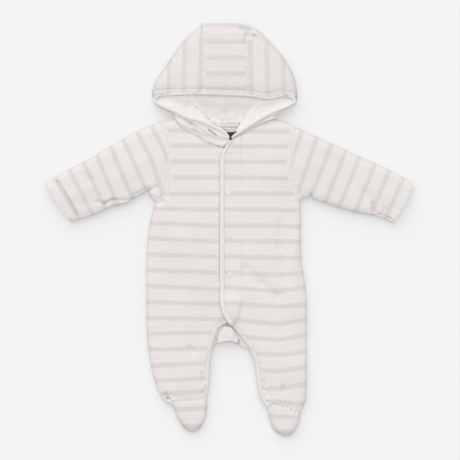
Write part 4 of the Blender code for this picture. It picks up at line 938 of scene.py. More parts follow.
def edge_binding(name, node, cloth, floor, grow=1.0):
    """A strip over the cloth's first columns, wrapped down over its edge. cloth has its edge first.

    grow: 0 to 1 for each row, where the strip gets thin as it goes under the other front.
    """
    grow = np.broadcast_to(grow, len(cloth))
    normal = unit(np.cross(np.gradient(cloth, axis=1), np.gradient(cloth, axis=0)))
    normal *= np.sign(normal[..., 2:] + 1e-9)
    first, z = cloth[:, 0, :2], cloth[:, 0, 2]
    out = unit(first - cloth[:, 1, :2])
    width = norm(cloth[:, :, :2] - first[:, None], axis=2)
    share = width / width[:, -1:]
    plump = 0.55 + 0.95 * sin(pi * clip(share * 0.86 + 0.12, 0, 1)) ** 0.7
    outside = (THIN + (BINDING_OUT - THIN) * grow, THIN + (plump - THIN) * grow[:, None], 0.35, 0.9)
    inside = (np.full(len(cloth), BINDING_IN), np.full(share.shape, BINDING_IN), 1.0, 1.0)
    faces = []
    for rise, plump, top_share, shoulder_share in (outside, inside):
        edge = first + out * rise[:, None]
        top = with_z(edge, z + top_share * rise)
        shoulder = with_z(first + out * 0.6 * rise[:, None], z + shoulder_share * rise)
        hem = with_z(edge, maximum(z - BINDING_DROP, floor + 0.1))
        over = cloth[:, 1:] + normal[:, 1:] * plump[:, 1:, None]
        faces.append(concatenate([stack([hem, top, shoulder], axis=1), over], axis=1))
    return wall(name, node, [tuple(faces)], BINDING)


cloth = right_cloth[0][FINE // 2:, :3 * FINE + 1]
under = under_lap(cloth[:, 0, :2] - array([BINDING_OUT, 0]))
binding_front = edge_binding("binding_down_front", "binding_front", cloth, under)
cloth = left_cloth[0][:, ::-1]
cloth = cloth[cloth[:, 0, 1] < LEG_BINDING_TOP]
y = cloth[:, 0, 1]
cloth = beside_edge(cloth, 5.0 + 4.0 * smooth((y + 226) / 20))
grow = smooth((LEG_BINDING_TOP - y) / 9)
binding_leg = edge_binding("binding_down_leg", "binding_leg_left", cloth, SIDE_SEAM_Z, grow)

# %% [markdown]
# ## The back
#
# The back is one piece down to both ankles, and lies on the floor. Little of it shows: a thin rim beyond the fronts.
# It is made from four grids that share their edges, so that the legs can part.

# %% Make the back
def back_top(side):
    """Places along the back's top edge, from the armhole to the middle."""
    neck = "back_neck_left" if side == "left" else "-back_neck_right"
    return in_parts((("-shoulder_part_" + side, (0, 0.08, 0.25, 0.55, 1)),
                     (neck, (0, 0.1, 0.24, 0.4, 0.6, 0.7, 0.8, 0.9, 1))), LOW_FINE)


def back_side(side):
    """Places down the back's side: to the height of the crotch, and on to the ankle."""
    below = BELOW_ARM[side]
    split = np.argmin(abs(below[:, 1] - LINES["leg_inner_" + side][-1, 1]))
    body = along(below[:split + 1], refine(linspace(0, 1, 10), LOW_FINE))
    leg = along(below[split:], refine((0, 0.2, 0.42, 0.64, 0.84, 1), LOW_FINE))
    return joined(in_parts([("armhole_" + side, BOTH_ROLLED)], LOW_FINE), body), leg


def make_back():
    sides = {side: back_side(side) for side in SIDES}
    middle_rows = np.mean([share_of_drop(body) for body, leg in sides.values()], axis=0)
    centre = down(array([(0, 175), (0, -196)], float), middle_rows)
    columns = refine(BACK_LEG, LOW_FINE)
    part = 8 * LOW_FINE
    grids = []
    for side, (body, leg) in sides.items():
        way = "" if side == "left" else "-"
        rows, top, crotch = share_of_drop(body), back_top(side), LINES["leg_inner_" + side][-1]
        waist = ends(body[-1], crotch)
        middle = down(ends(top[part], crotch), rows)
        blend = smooth(rows / 0.2)[:, None]
        shares = share_of_run(top[:part + 1]) * (1 - blend) + columns * blend
        hem = in_parts([(f"{way}crotch_hem_{side}", (0, 0.25, 0.5, 0.75, 1))], LOW_FINE)
        inner = down(line("-leg_inner_" + side), share_of_drop(leg))
        grids += [panel(top[:part + 1], waist, body, middle, shares), patch(top[part:], hem, middle, centre),
                  pull_in(panel(waist, line(f"{way}ankle_{side}"), leg, inner, [columns] * len(leg)), row=-1)]
    names = ("left", "left_back", "right", "right_back", "crotch_hem")
    pairs = [kept(lower(grid, names), minimum, SIDE_SEAM_Z - SEAM_GAP / 2) for grid in grids]
    return wall("velour_back", "back", pairs, VELOUR, "back")


back = make_back()

# %% [markdown]
# ## Sleeves
#
# A sleeve is a tube, laid flat: an upper and a lower side that share their edges, open at the cuff. It is set into
# the armhole, and the seam's puckers run along it.

# %% Make the sleeves
SLEEVE_COLUMNS = (0, 0.02, 0.05, 0.09, 0.13, 0.19, 0.27, 0.36, 0.45, 0.54, 0.63, 0.72, 0.81, 0.89, 0.95, 1)


def make_sleeve(side):
    whole = line("shoulder_" + side)
    start = np.argmin(norm(whole - LINES["armhole_" + side][0], axis=1))
    columns, rows = refine(SLEEVE_COLUMNS, FINE), refine(BOTH_ROLLED, FINE)
    gusset = 4 * FINE  # columns of the grid that end on the gusset
    beyond = (columns[gusset + 1:] - columns[gusset]) / (1 - columns[gusset])
    under = vstack([along(line("-gusset_" + side), linspace(0, 1, gusset + 1)),
                    along(line("-sleeve_under_" + side), beyond)])
    grid = patch(along(whole[start:], columns), under, along(line("armhole_" + side), rows),
                 along(line("cuff_" + side), rows), fade=5)
    grid = pull_in(grid, column=0, by=2 * SEAM_GAP)
    pairs = [upper(grid, side), lower(grid, (side, side + "_lower"))]
    return wall("velour_sleeve_" + side, "sleeve_" + side, pairs, VELOUR, "sleeve_" + side)


sleeves = [make_sleeve(side) for side in SIDES]

# %% [markdown]
# ## Feet
#
# Each foot has an upper and a sole, gathered a little into the ankle seam. The foot lies on its side, so that the
# sole shows as a thin rim along one edge of the toe.

# %% Make the feet
FOOT_EDGES = {"left": ("ankle_left", "toe_left", "foot_outer_left", "-foot_inner_left"),
              "right": ("ankle_right", "-toe_right", "-foot_inner_right", "foot_outer_right")}
FOOT_ROWS = (0, 0.1, 0.25, 0.42, 0.58, 0.73, 0.86, 0.95, 1)


def foot_grid(side, columns, gap, fine):
    edges = zip(FOOT_EDGES[side], (columns, columns, FOOT_ROWS, FOOT_ROWS))
    return pull_in(patch(*[in_parts([edge], fine) for edge in edges]), row=0, by=gap)


def make_foot(side):
    across_ankle = norm(LINES["ankle_right"][0] - LINES["ankle_right"][-1])
    bound = concatenate([[0], array(BINDING_STEPS) / across_ankle, zeros(len(RIGHT_LEG) - 4)])
    grid = foot_grid(side, LEG if side == "left" else RIGHT_LEG + bound, SEAM_GAP / 2, FINE)
    faces = kept(upper(grid, side), maximum, seam_height(grid) + SEAM_GAP / 2)
    made = wall("velour_foot_" + side, "foot_upper_" + side, [faces], VELOUR, "foot_" + side)
    grid = foot_grid(side, BACK_LEG if side == "left" else 1 - BACK_LEG[::-1], SOLE_GAP, LOW_FINE)
    faces = kept(lower(grid, (side, side + "_lower")), minimum, seam_height(grid) - SEAM_GAP / 2)
    return made, wall("velour_sole_" + side, "sole_" + side, [faces], VELOUR, "foot_" + side)


feet = [made for side in SIDES for made in make_foot(side)]

# %% [markdown]
# ## The hood
#
# Three panels: the sides have stripes that run down, the middle one stripes that run across. Each panel goes over the
# crown and back under, so its upper and lower layers meet in a fold there. The lower layer ends at the back's neck.

# %% Make the hood's panels
HOOD_ACROSS = (0, 0.03, 0.09, 0.19, 0.34, 0.52, 0.74, 0.9, 1)
CENTRE_COLUMNS = (0, 0.1, 0.28, 0.5, 0.72, 0.9, 1)
HOOD_ROWS = (0, 0.01, 0.035, 0.08, 0.15, 0.26, 0.4, 0.55, 0.68, 0.78, 0.86, 0.91, 0.94, 0.97, 1)
HOOD_NECK = {"left": (-88, -30), "right": (76, 28)}  # x of the panels' ends at the neck
SEAM_START = 0.8


def on_neck(x):
    """Places where the hood's lower layer ends: along the back's neck edge."""
    edge = joined(back_top("left")[4 * LOW_FINE:], back_top("right")[4 * LOW_FINE:][::-1])
    return stack([x, interp(x, edge[:, 0], edge[:, 1]) + 2 * SEAM_GAP], axis=-1)


def hood_seam(side, to_neck=False):
    """The seam between a side panel and the centre panel, down to the brim or on to the neck."""
    seam = line("hood_seam_" + side)
    return ends(seam, on_neck(HOOD_NECK[side][1])) if to_neck else seam


def hood_wall(panel_name, node, above, below):
    """A panel of the hood, from its upper and its lower layer. They share their first row, at the crown."""
    below[0] = above[0]
    return wall("velour_hood_" + panel_name, "hood_" + node, [hood_upper(above), hood_lower(below)], VELOUR_HOOD_SHADED,
                "hood_" + panel_name)


def make_hood_side(side):
    outer = line("-hood_left" if side == "left" else "hood_right")
    columns, rows = refine(HOOD_ACROSS, FINE), refine(HOOD_ROWS, FINE)
    top_y = hood_seam(side)[0, 1] - SEAM_START
    seams = [hood_seam(side, to_neck) for to_neck in (False, True)]
    seam, low_seam = [ends((x_at(whole, top_y), top_y), down(whole, rows)[1:]) for whole in seams]
    start = (x_at(outer, top_y), top_y)
    edge = ends(start, outer[outer[:, 1] < top_y])
    top = along(ends(start, seam[0]), columns)
    brim = along(line("brim_left" if side == "left" else "-brim_right"), columns)
    above = patch(top, brim, down(edge, share_of_drop(seam)), seam)
    above = pull_in(pull_in(above, column=-1), row=-1, by=BRIM_SETBACK)
    neck = on_neck(HOOD_NECK[side][0] + (HOOD_NECK[side][1] - HOOD_NECK[side][0]) * columns)
    corner = line("opening_" + side)
    low_edge = vstack([edge, corner[(corner[:, 1] > 201) & (corner[:, 1] < 229)], neck[:1]])
    below = pull_in(patch(top, neck, down(low_edge, share_of_drop(low_seam)), low_seam), column=-1)
    return hood_wall(side, "side_" + side, above, below)


def make_hood_centre():
    columns, rows = refine(CENTRE_COLUMNS, FINE), refine(HOOD_ROWS, FINE)
    neck = on_neck(HOOD_NECK["left"][1] + (HOOD_NECK["right"][1] - HOOD_NECK["left"][1]) * columns)
    grids = []
    for to_neck, bottom in ((False, along(line("brim_centre"), columns)), (True, neck)):
        grid = patch(along(line("hood_crown"), columns), bottom,
                     *[down(hood_seam(side, to_neck), rows) for side in SIDES])
        grid = grid if to_neck else pull_in(grid, row=-1, by=BRIM_SETBACK)
        grids.append(pull_in(pull_in(grid, column=0), column=-1))
    return hood_wall("centre", "centre", *grids)


hood = [make_hood_side("left"), make_hood_side("right"), make_hood_centre()]

# %% [markdown]
# ## The hood's front corners and its lining
#
# At the neck the side panels turn over, so that their jersey lining faces up. The lining of the back of the hood is
# gathered into the neck tape, and has one loose fold down the middle.

# %% Make the corners and the lining
CORNER_TOP, CORNER_FALL, CORNER_ROLL = 19.0, 1.2, 0.72  # the last is the share of its width where it rolls down
CORNER_X, UNDER_TOP, CORNER_DROP, CORNER_REACH = (-124, 108), 3.4, 9.0, 24  # of the binding along the brim
LINING_START, TAPE_Y, TAPE_LOW_Y = 187.6, 186.9, 179.6
POINT_TOP = (1.8, 157.0)  # the left corner narrows to a point, under the end of the binding
POINT_BELOW = ((-19, 144.8), (-13.4, 142.8), (-9.3, 143.6), (-5, 148), (-1, 152.8), (1.8, 156))


def rolled_down(value):
    """0 to 1 as a rounded edge turns down to upright."""
    return 1 - np.sqrt(1 - clip(value, 0, 1) ** 2)


def between_sides(left, right, rows, columns, bottom=None):
    """A grid between two sides that are each given by a few points, top to bottom, and a bottom or a straight one."""
    left, right = [down(array(side, float), rows) for side in (left, right)]
    bottom = ends(left[-1], right[-1]) if bottom is None else bottom
    return patch(along(ends(left[0], right[0]), columns), along(bottom, columns), left, right)


def brim_height(x):
    """Height of the middle of the binding along the brim, which sinks towards the corners."""
    corner = minimum(abs(x - CORNER_X[0]), abs(x - CORNER_X[1]))
    return HOOD_TOP - UNDER_TOP - BRIM_DROP - (CORNER_DROP - BRIM_DROP) * bell(corner, CORNER_REACH)


def to_brim(grid, height, below):
    """Brings a lining's height up to the brim's binding, and lets it drop behind that."""
    short = interp(grid[..., 0], BRIM[:, 0], BRIM[:, 1]) - grid[..., 1]
    height = height + (brim_height(grid[..., 0]) - below - height) * smooth((24 - short) / 20)
    return height - (height - UNDER_HOOD + below) * smooth((0.8 - short) / 1.6) * (height > UNDER_HOOD - below)


def make_hood_front(side):
    """The strip of the side panel between the neck seam and the hood's binding."""
    shares = refine((0, 0.05, 0.15, 0.3, 0.45, 0.6, 0.75, 0.88, 1), 2 * FINE)
    if side == "left":
        top, bottom = offset(line("opening_left"), 0.9), offset(line("neck_left"), -0.4)
        top = ends(top[(top[:, 0] > -95) & (top[:, 0] < -1)], POINT_TOP)
        bottom = ends(bottom[bottom[:, 0] < -24], POINT_BELOW)
    else:
        top, bottom = offset(line("opening_right"), -0.9), offset(line("-neck_right"), 0.4)
        top, bottom = top[(top[:, 0] < 86) & (top[:, 0] > 6)], bottom[bottom[:, 0] > 4]
    v = refine((0, 0.25, 0.6, 1), 2 * FINE)[:, None, None]
    grid = along(top, shares) * (1 - v) + along(bottom, shares) * v
    rise, run = np.broadcast_arrays(v[..., 0], shares * 95)
    height = CORNER_TOP - CORNER_FALL * smooth(rise)
    height = height + 1.3 * sin(9 * rise + run / 13) * sin(pi * rise) + folds_at(grid)
    height += 0.35 * sin(run / 2.6 + 4 * rise) * smooth(1.6 * rise - 0.5)
    height -= (height - STRIP_HEM) * rolled_down((rise - CORNER_ROLL) / (1 - CORNER_ROLL))
    number = clip((grid[..., 0] + 55 + 0.5 * (grid[..., 1] - 165)) / REPEAT, -0.4, 0.4)
    return slab("velour_hood_corner_" + side, "hood_front_" + side, grid, STRIP_LOW, height, VELOUR_PLAIN,
                stack([number, run * MM], axis=-1))


def make_flap(side):
    """The lining of a front corner, from the binding down to where it lies on the hood's lower layer."""
    shares = refine((0, 0.06, 0.15, 0.27, 0.4, 0.53, 0.66, 0.8, 0.92, 1), 2 * FINE)
    middle = line("hood_edge")
    its_part = middle[:, 0] < -13 if side == "left" else middle[:, 0] > 15
    edge = offset(middle[its_part & (middle[:, 1] < 229)], 1.2 - BINDING_HALF)[::-1 if side == "left" else 1]
    crease = line("crease_" + side)
    edge, crease = along(edge, shares), along(crease[crease[:, 1] < 229.5], shares)
    u = refine((0, 0.08, 0.25, 0.5, 0.75, 0.93, 1), 2 * FINE)[None, :, None]
    grid = edge[:, None] * (1 - u) + crease[:, None] * u
    tucked = grid[0].copy()
    tucked[:, 1] = maximum(tucked[:, 1], interp(tucked[:, 0], BRIM[:, 0], BRIM[:, 1]) + 2)
    extra = linspace(1, 0, 6 * FINE + 1)[:-1, None, None]
    grid = vstack([grid[:1] * (1 - extra) + tucked[None] * extra, grid])
    shares = concatenate([linspace(-0.2, 0, 6 * FINE + 1)[:-1], shares])
    inwards, run = np.broadcast_arrays(u[..., 0], shares[:, None] * 55)
    at_edge = FLAP_EDGE - 3.6 * smooth((grid[..., 1] - 208) / 20)
    height = FLAP_CREASE + 1.2 + (at_edge - FLAP_CREASE - 1.2) * (1 - smooth(inwards))
    height += 0.9 * smooth((inwards - 0.72) * 6) - 4.5 * rolled_down((inwards - 0.9) * 10)
    gather = sin(run / 1.35 + 1.4 * sin(run / 5.1)) * bell(inwards, 0.33)
    height += 0.55 * gather * smooth(inwards * 14) + folds_at(grid)
    height += 1.0 * sin(run / 7.5 + 5.5 * inwards) * sin(pi * inwards)
    return slab("lining_corner_" + side, "hood_lining_" + side, grid, FLAP_LOW, to_brim(grid, height, 1.0), JERSEY)


def make_lining():
    rows = refine((0, 0.2, 0.4, 0.6, 0.78, 0.92, 1), 4 * FINE)
    columns = refine((0, 0.15, 0.32, 0.45, 0.5, 0.55, 0.68, 0.85, 1), 4 * FINE)
    grid = between_sides([(-68, 252), (-66, 226), (-51, 203), (-39, TAPE_Y)],
                         [(66, 250), (64, 226), (44, 206), (22, TAPE_Y)], rows, columns)
    x, y = grid[..., 0], grid[..., 1]
    from_seam = y - LINING_START
    gather = 1.3 * sin(x / 1.45 + 1.6 * sin(x / 6.2)) * exp(-from_seam / 8)
    gather -= 3.2 * (0.5 + 0.5 * sin(x / 1.9 + 2.3 * sin(x / 8.3))) ** 4 * bell(from_seam - 4, 3.4)
    gather += 0.6 * sin(x / 3.1 + 0.8) * exp(-from_seam / 17)
    from_fold = x + 17 - 0.4 * (232 - y)
    fold = (2.6 * bell(from_fold, 3.0) - 1.4 * bell(from_fold - 5, 3)) * smooth((y - 196) / 14)
    height = LINING_TOP + 0.6 + 6.5 * smooth((y - 197) / 30) + 1.1 * gather + fold + 0.5 * sin(x / 9 + y / 14)
    height += 0.45 * sin(x / 4.1 + 2 * sin(y / 7)) * sin(y / 5.3 + x / 11)
    height = maximum(to_brim(grid, height, 2.4), LINING_LOW + 0.6)
    return slab("lining_hood_back", "hood_lining_centre", grid, LINING_LOW, height, JERSEY)


def rectangle(x0, x1, columns, y0, y1, rows):
    return stack(np.meshgrid(linspace(x0, x1, columns), linspace(y0, y1, rows)), axis=-1)


def make_neck():
    """The tape over the neck seam, and the label below it, which is bare."""
    tape = rectangle(-38, 16, 73, TAPE_Y, TAPE_LOW_Y, 13)
    height = TAPE_TOP + 0.25 * sin(tape[..., 0] / 3.4) + 0.35 * sin(pi * (tape[..., 1] - TAPE_LOW_Y) / 7.3)
    label = rectangle(-16, 12, 19, 170.6, 150, 15)
    return [slab("neck_band", "neck_tape", tape, LINING_LOW, height, TAPE),
            slab("blank_label", "neck_label", label, LABEL_LOW, LABEL_TOP + 0.12 * sin(label[..., 0] / 2.5), LABEL)]


corners = [make_hood_front(side) for side in SIDES]
linings = [make_flap("left"), make_flap("right"), make_lining()]
neck = make_neck()

# %% [markdown]
# ## The binding round the hood
#
# A soft roll of jersey with a little wadding in it. It is pulled tight as it is sewn, which makes it slightly
# knobbly.

# %% Make the hood's binding
BINDING_Z = 17.6  # its middle beside the opening


def swept(name, node, rings, finish):
    """A closed bar through rings of places."""
    rings = array(rings)
    count, sides = rings.shape[:2]
    index = np.arange(count * sides).reshape(count, sides)
    after = np.roll(index, -1, axis=1)
    faces = stack([index[:-1], after[:-1], after[1:], index[1:]], axis=-1).reshape(-1, 4).tolist()
    faces += [index[0][::-1].tolist(), index[-1].tolist()]
    return finished(name, closed_mesh(name, rings.reshape(-1, 3), faces), finish, node)


def make_hood_binding():
    count = 54 * FINE
    path = along(line("hood_edge"), linspace(0, 1, count))
    on_brim = smooth((path[:, 1] - 205) / 28)
    middle = BINDING_Z + (brim_height(path[:, 0]) - BINDING_Z) * on_brim
    run, place = run_of(path), np.arange(count)
    size = 0.5 + 0.5 * np.sqrt(minimum(minimum(place, count - 1 - place) / FINE / 2, 1))
    knob = 1 + 0.05 * sin(run / 1.9 + sin(run / 9)) + 0.03 * sin(run / 5.3)
    angles = linspace(0, 2 * pi, 24, endpoint=False)
    wide = (offset(path, 1.0) - path)[:, None] * (size * (BINDING_HALF - 0.9 * on_brim) * knob)[:, None, None]
    high = middle[:, None] + (size * BINDING_HIGH * knob)[:, None] * sin(angles)
    rings = with_z(path[:, None] + wide * np.cos(angles)[:, None], high)
    return swept("binding_round_hood", "binding_hood", rings, BINDING)


binding_hood = make_hood_binding()

# %% [markdown]
# ## Between the legs
#
# The facing inside the back shows in the gap between the legs. It is velour too, and its edge is gathered by the tape
# that the front's poppers close on to.

# %% Make the crotch facing
PUFF = 8.5  # how far the loose middle of the facing stands up


def make_crotch_facing():
    hem = offset(OUTLINES["crotch_hem"], 0.5)
    left = [(-15, -150), (-18, -164), (-26, -182), (-32, -201)]
    right = [(8, -150), (13, -170), (26, -188), (41, -210)]
    hem = vstack([left[-1], hem[(hem[:, 0] > -28) & (hem[:, 0] < 37)], right[-1]])
    grid = between_sides(left, right, refine(linspace(0, 1, 8), FINE),
                         refine((0, 0.08, 0.22, 0.4, 0.6, 0.78, 0.92, 1), FINE), hem)
    bottom = lower(grid, ("left_back", "right_back", "crotch_hem"))[1][..., 2] + FACING_CLEAR
    distance, run, _ = near_line(grid, hem)
    pucker = 0.5 * (1 + sin(run / 1.9 + sin(run / 6))) * exp(-distance / 6)
    x, y = grid[..., 0], grid[..., 1]
    from_left = x - interp(y, (-199, -190, -180, -167), (-22, -21.5, -17.5, -9))
    from_right = interp(y, (-203, -197, -191.6, -184.6, -176, -167), (15, 16.5, 17.5, 13.5, 8, 1)) - x
    puffed = smooth(from_left / 1.3) * smooth(from_right / 1.3) * smooth(distance / 1.2) * smooth((-167.8 - y) / 3)
    top = bottom + FACING_THICK + 0.8 * pucker + 0.4 * dents(grid) * smooth(distance / 8)
    top = maximum(top + puffed * (PUFF + 1.6 * folds_at(grid)), bottom + 0.5)
    return slab("velour_crotch_facing", "crotch_facing", grid, bottom, top, VELOUR_PLAIN,
                stack([0.5 + 0 * distance, run * MM], axis=-1))


facing = make_crotch_facing()

# %% [markdown]
# ## Poppers
#
# Ring poppers: a cap with a raised rim and a low dome in the middle, pressed through the binding and the front.
# Each is set square to the cloth right under it.

# %% Make the poppers
CAP = ((5.2, 0.0), (5.3, 0.25), (5.2, 0.5), (4.85, 0.7), (4.4, 0.7), (4.05, 0.5), (3.5, 0.45), (3.05, 0.6),
       (2.4, 0.75), (1.5, 0.85), (0.6, 0.9))  # radius and height


def surface_of(*objects):
    return [BVHTree.FromPolygons([v.co for v in made.data.vertices], [p.vertices for p in made.data.polygons])
            for made in objects]


def height_on(trees, place):
    """The highest of the surfaces at a place, in millimetres, or nothing."""
    above = Vector((place[0] * MM, place[1] * MM, 0.1))
    hits = [tree.ray_cast(above, Vector((0, 0, -1)))[0] for tree in trees]
    return max([hit.z / MM for hit in hits if hit], default=None)


def make_popper(number, place, trees):
    turns = linspace(0, 2 * pi, 48, endpoint=False)
    ring = stack([np.cos(turns), sin(turns)], axis=1)
    place = array(place, float)
    under = vstack([place + ring[::4] * r for r in (POPPER_RADIUS + 0.2, 4.2, 3.0, 1.5)])
    height = array([height_on(trees, spot) for spot in under])
    terms = np.column_stack([under - place, np.ones(len(under))])
    slope = np.linalg.lstsq(terms, height, rcond=None)[0]
    middle = slope[2] + np.quantile(height - terms @ slope, 0.7)
    up = unit(array([-slope[0], -slope[1], 1.0]))
    side = unit(np.cross([0, 1, 0], up))
    back_way = np.cross(up, side)
    seat = array([*place, middle])
    rings = [[seat + r * (c * side + s * back_way) + z * up for c, s in ring] for r, z in CAP]
    return swept(f"nylon_popper_{number}", f"popper_{number}", rings, NYLON)


front_surface = surface_of(front_right, binding_front)
for number, place in enumerate(POPPERS, 1):
    make_popper(number, place, front_surface)

# %% [markdown]
# ## Stitches
#
# Rows of machine stitches hold the bindings, the brim and the hood's seams. A stitch repeats along a path, so
# Geometry Nodes lay them: points at a set spacing along a curve, one short thread on each, turned along the curve.

# %% The stitch nodes
def stitch_tree():
    """Stitches along a curve, as real faces."""
    tree = bpy.data.node_groups.new("stitches along a curve", "GeometryNodeTree")
    for name, kind in (("Geometry", "Geometry"), ("Spacing", "Float"), ("Length", "Float"), ("Thickness", "Float"),
                       ("Thread", "Material")):
        tree.interface.new_socket(name, in_out="INPUT", socket_type="NodeSocket" + kind)
    tree.interface.new_socket("Geometry", in_out="OUTPUT", socket_type="NodeSocketGeometry")
    given = add(tree, "NodeGroupInput").outputs
    points = add(tree, "GeometryNodeCurveToPoints", {"mode": "LENGTH"}, Curve=given["Geometry"],
                 Length=given["Spacing"]).outputs
    shape = add(tree, "GeometryNodeMeshUVSphere", Segments=8, Rings=6, Radius=0.5)
    size = add(tree, "ShaderNodeCombineXYZ", X=given["Thickness"], Y=given["Thickness"], Z=given["Length"])
    thread = add(tree, "GeometryNodeTransform", Geometry=shape.outputs["Mesh"], Scale=size.outputs[0])
    laid = add(tree, "GeometryNodeInstanceOnPoints", Points=points["Points"], Instance=thread.outputs["Geometry"],
               Rotation=points["Rotation"])
    real = add(tree, "GeometryNodeRealizeInstances", Geometry=laid.outputs["Instances"])
    done = add(tree, "GeometryNodeSetMaterial", Geometry=real.outputs["Geometry"], Material=given["Thread"])
    add(tree, "NodeGroupOutput", Geometry=done.outputs["Geometry"])
    return tree


STITCHES = stitch_tree()


def stitch_row(name, surfaces, path, spacing=3.0, length=2.1):
    """One row of stitches along places lifted on to the cloth, as one mesh piece. Places that miss it are dropped."""
    places = [(x, y, height_on(surfaces, (x, y))) for x, y in path]
    places = array([(x, y, z + ABOVE_CLOTH) for x, y, z in places if z is not None])
    curve = bpy.data.curves.new(name + " path", "CURVE")
    curve.dimensions = "3D"
    stroke = curve.splines.new("POLY")
    stroke.points.add(len(places) - 1)
    stroke.points.foreach_set("co", np.column_stack([places * MM, np.ones(len(places))]).ravel())
    guide = place_in_scene(name + " guide", curve)
    laid = guide.modifiers.new("stitches", "NODES")
    laid.node_group = STITCHES
    given = {"Spacing": spacing * MM, "Length": length * MM, "Thickness": THREAD_THICK * MM, "Thread": THREAD}
    for item in STITCHES.interface.items_tree:
        if item.in_out == "INPUT" and item.name in given:
            laid[item.identifier] = given[item.name]
    bpy.context.view_layer.update()
    graph = bpy.context.evaluated_depsgraph_get()
    mesh = bpy.data.meshes.new_from_object(guide.evaluated_get(graph), depsgraph=graph)
    bpy.data.objects.remove(guide)
    bpy.data.curves.remove(curve)
    mesh.name = name
    return finished(name, mesh, THREAD)


def part_of(dense, low, high, count):
    """So many places along the part of a line that is between two heights."""
    return along(dense[(dense[:, 1] > low) & (dense[:, 1] < high)], linspace(0, 1, count))


# %% Lay the rows
THREAD_THICK, ABOVE_CLOTH = 0.45, 0.08
FROM_EDGE, FROM_SEAM = 6.3, 2.2
edge = offset(line("-front_edge", "-crotch_right", "-leg_inner_right"), FROM_EDGE)
rows = [stitch_row("stitches_front", front_surface, part_of(edge, -282, 138, 900))]
edge = offset(line("-leg_inner_left"), -FROM_EDGE)
rows.append(stitch_row("stitches_leg", surface_of(front_left, binding_leg), part_of(edge, -282, -208, 200)))
hood_surface = surface_of(*hood)
rows.append(stitch_row("stitches_brim", hood_surface, along(offset(BRIM, BRIM_HEM), linspace(0.02, 0.98, 700))))
for side, away in (("left", -FROM_SEAM), ("right", FROM_SEAM)):
    seam = along(offset(hood_seam(side), away), linspace(0.04, 0.95, 400))
    rows.append(stitch_row("stitches_hood_" + side, hood_surface, seam, spacing=3.4))
for number, y in enumerate((185.4, 181.0), 1):
    row = rectangle(-37, 15, 150, y, y, 1)[0]
    rows.append(stitch_row(f"stitches_tape_{number}", surface_of(neck[0]), row, spacing=2.6, length=1.7))

# %% [markdown]
# ## Floor, light and camera
#
# The garment lies on a pale, even floor. The light is soft and comes from above and a little from the upper left, so
# the shadows fall short and weak to the lower right. The camera hangs straight above it.

# %% Stage, light and camera
FLOOR_GREY, FLOOR_GLOW = "D4D4D4", 0.24  # a sheet lit from behind as well, which keeps the shadows light
FLOOR_HALF, FLOOR_Z = 2, -0.0004
WORLD_LIGHT = 0.62
FOCAL_LENGTH, SENSOR, ACROSS = 250, 36, 0.805  # the last is metres across the picture, at the garment's height
PICTURE_X, PICTURE_Y, GARMENT_Z = 0.0013, -0.0009, 0.012  # the picture's middle, in metres


def make_floor():
    mesh = bpy.data.meshes.new("floor")
    corners = [(x * FLOOR_HALF, y * FLOOR_HALF, FLOOR_Z) for x, y in ((-1, -1), (1, -1), (1, 1), (-1, 1))]
    mesh.from_pydata(corners, [], [(0, 1, 2, 3)])
    made = make_even("pale backdrop", FLOOR_GREY, 0.9, 0.0, 8.0, 2.0, 0.01)
    shader = made.node_tree.nodes["Principled BSDF"]
    shader.inputs["Emission Color"].default_value = (1, 1, 1, 1)
    shader.inputs["Emission Strength"].default_value = FLOOR_GLOW
    mesh.materials.append(made)
    floor = place_in_scene("floor", mesh)
    return floor


def far_light(name, way, spread, strength):
    """A large, distant softbox: the same light everywhere on the floor. spread is its angle in degrees."""
    light = bpy.data.lights.new(name, "SUN")
    light.angle, light.energy = math.radians(spread), strength
    place_in_scene(name, light).rotation_euler = (-Vector(way)).to_track_quat("-Z", "Y").to_euler()


def make_world():
    world = bpy.data.worlds.new("studio")
    world.use_nodes = True
    background = world.node_tree.nodes["Background"]
    background.inputs["Color"].default_value = (1, 1, 1, 1)
    background.inputs["Strength"].default_value = WORLD_LIGHT
    bpy.context.scene.world = world


def make_camera():
    lens = bpy.data.cameras.new("overhead")
    lens.lens, lens.sensor_width, lens.clip_end = FOCAL_LENGTH, SENSOR, 20
    made = place_in_scene("overhead", lens)
    made.location = (PICTURE_X, PICTURE_Y, GARMENT_Z + ACROSS * FOCAL_LENGTH / SENSOR)
    bpy.context.scene.camera = made


floor = make_floor()
far_light("key", (-0.25, 1.0, 0.95), 70, 1.35)
far_light("overhead", (0.05, 0, 1), 50, 0.3)
make_world()
make_camera()
bpy.context.scene.view_settings.view_transform = "Standard"
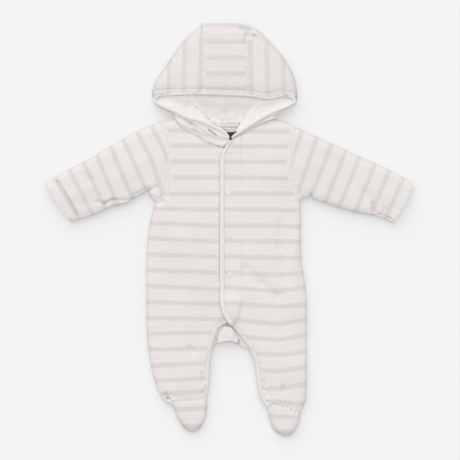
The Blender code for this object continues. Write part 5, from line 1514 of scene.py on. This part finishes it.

# %% [markdown]
# ## What each piece was cut from
#
# Every wall is cloth, cut flat and sewn. Its cut is given as width and length in metres, and as an area, because few
# pieces are rectangles. A sleeve is a tube and a hood panel goes over the crown and back, so their cuts go all round.
# The roll round the hood is padded, and has no cut in the table.

# %% State the cuts
CUTS = (  # piece, width and length, area, how it is held, what it lies on, what is sewn on it
    (front_left, (0.17, 0.52), 0.060, "laid", [back], [rows[1]]),
    (front_right, (0.17, 0.53), 0.060, "laid", [back, front_left], [rows[0]]),
    (back, (0.29, 0.52), 0.118, "laid", [floor], []),
    (sleeves[0], (0.24, 0.24), 0.042, "laid", [floor], []),
    (sleeves[1], (0.24, 0.24), 0.040, "laid", [floor], []),
    (feet[0], (0.064, 0.070), 0.0031, "gathered", [feet[1]], []),
    (feet[1], (0.064, 0.070), 0.0031, "laid", [floor], []),
    (feet[2], (0.062, 0.062), 0.0026, "gathered", [feet[3]], []),
    (feet[3], (0.062, 0.062), 0.0026, "laid", [floor], []),
    (hood[0], (0.11, 0.30), 0.019, "laid", [floor], [rows[3]]),
    (hood[1], (0.11, 0.30), 0.020, "laid", [floor], [rows[4]]),
    (hood[2], (0.085, 0.33), 0.0255, "laid", [floor], [rows[2]]),
    (corners[0], (0.10, 0.045), 0.0030, "folded", [front_left], []),
    (corners[1], (0.08, 0.020), 0.0011, "folded", [front_right], []),
    (linings[0], (0.12, 0.050), 0.0038, "folded", [hood[0]], []),
    (linings[1], (0.11, 0.050), 0.0032, "folded", [hood[1]], []),
    (linings[2], (0.14, 0.070), 0.0075, "gathered", [hood[2]], []),
    (binding_front, (0.012, 0.53), 0.0060, "folded", [front_right], []),
    (binding_leg, (0.013, 0.135), 0.0016, "folded", [front_left], []),
    (neck[0], (0.054, 0.011), 0.00055, "laid", [back], rows[5:]),
    (neck[1], (0.028, 0.024), 0.00066, "laid", [back], []),
    (facing, (0.075, 0.060), 0.0022, "laid", [back], []),
)
for made, flat, area, held, rests_on, sewn_on in CUTS:
    shown = sum(face.area for face in made.data.polygons) / 2
    print(f"{made.name}: cut {area} m2, made {shown:.5f} m2")
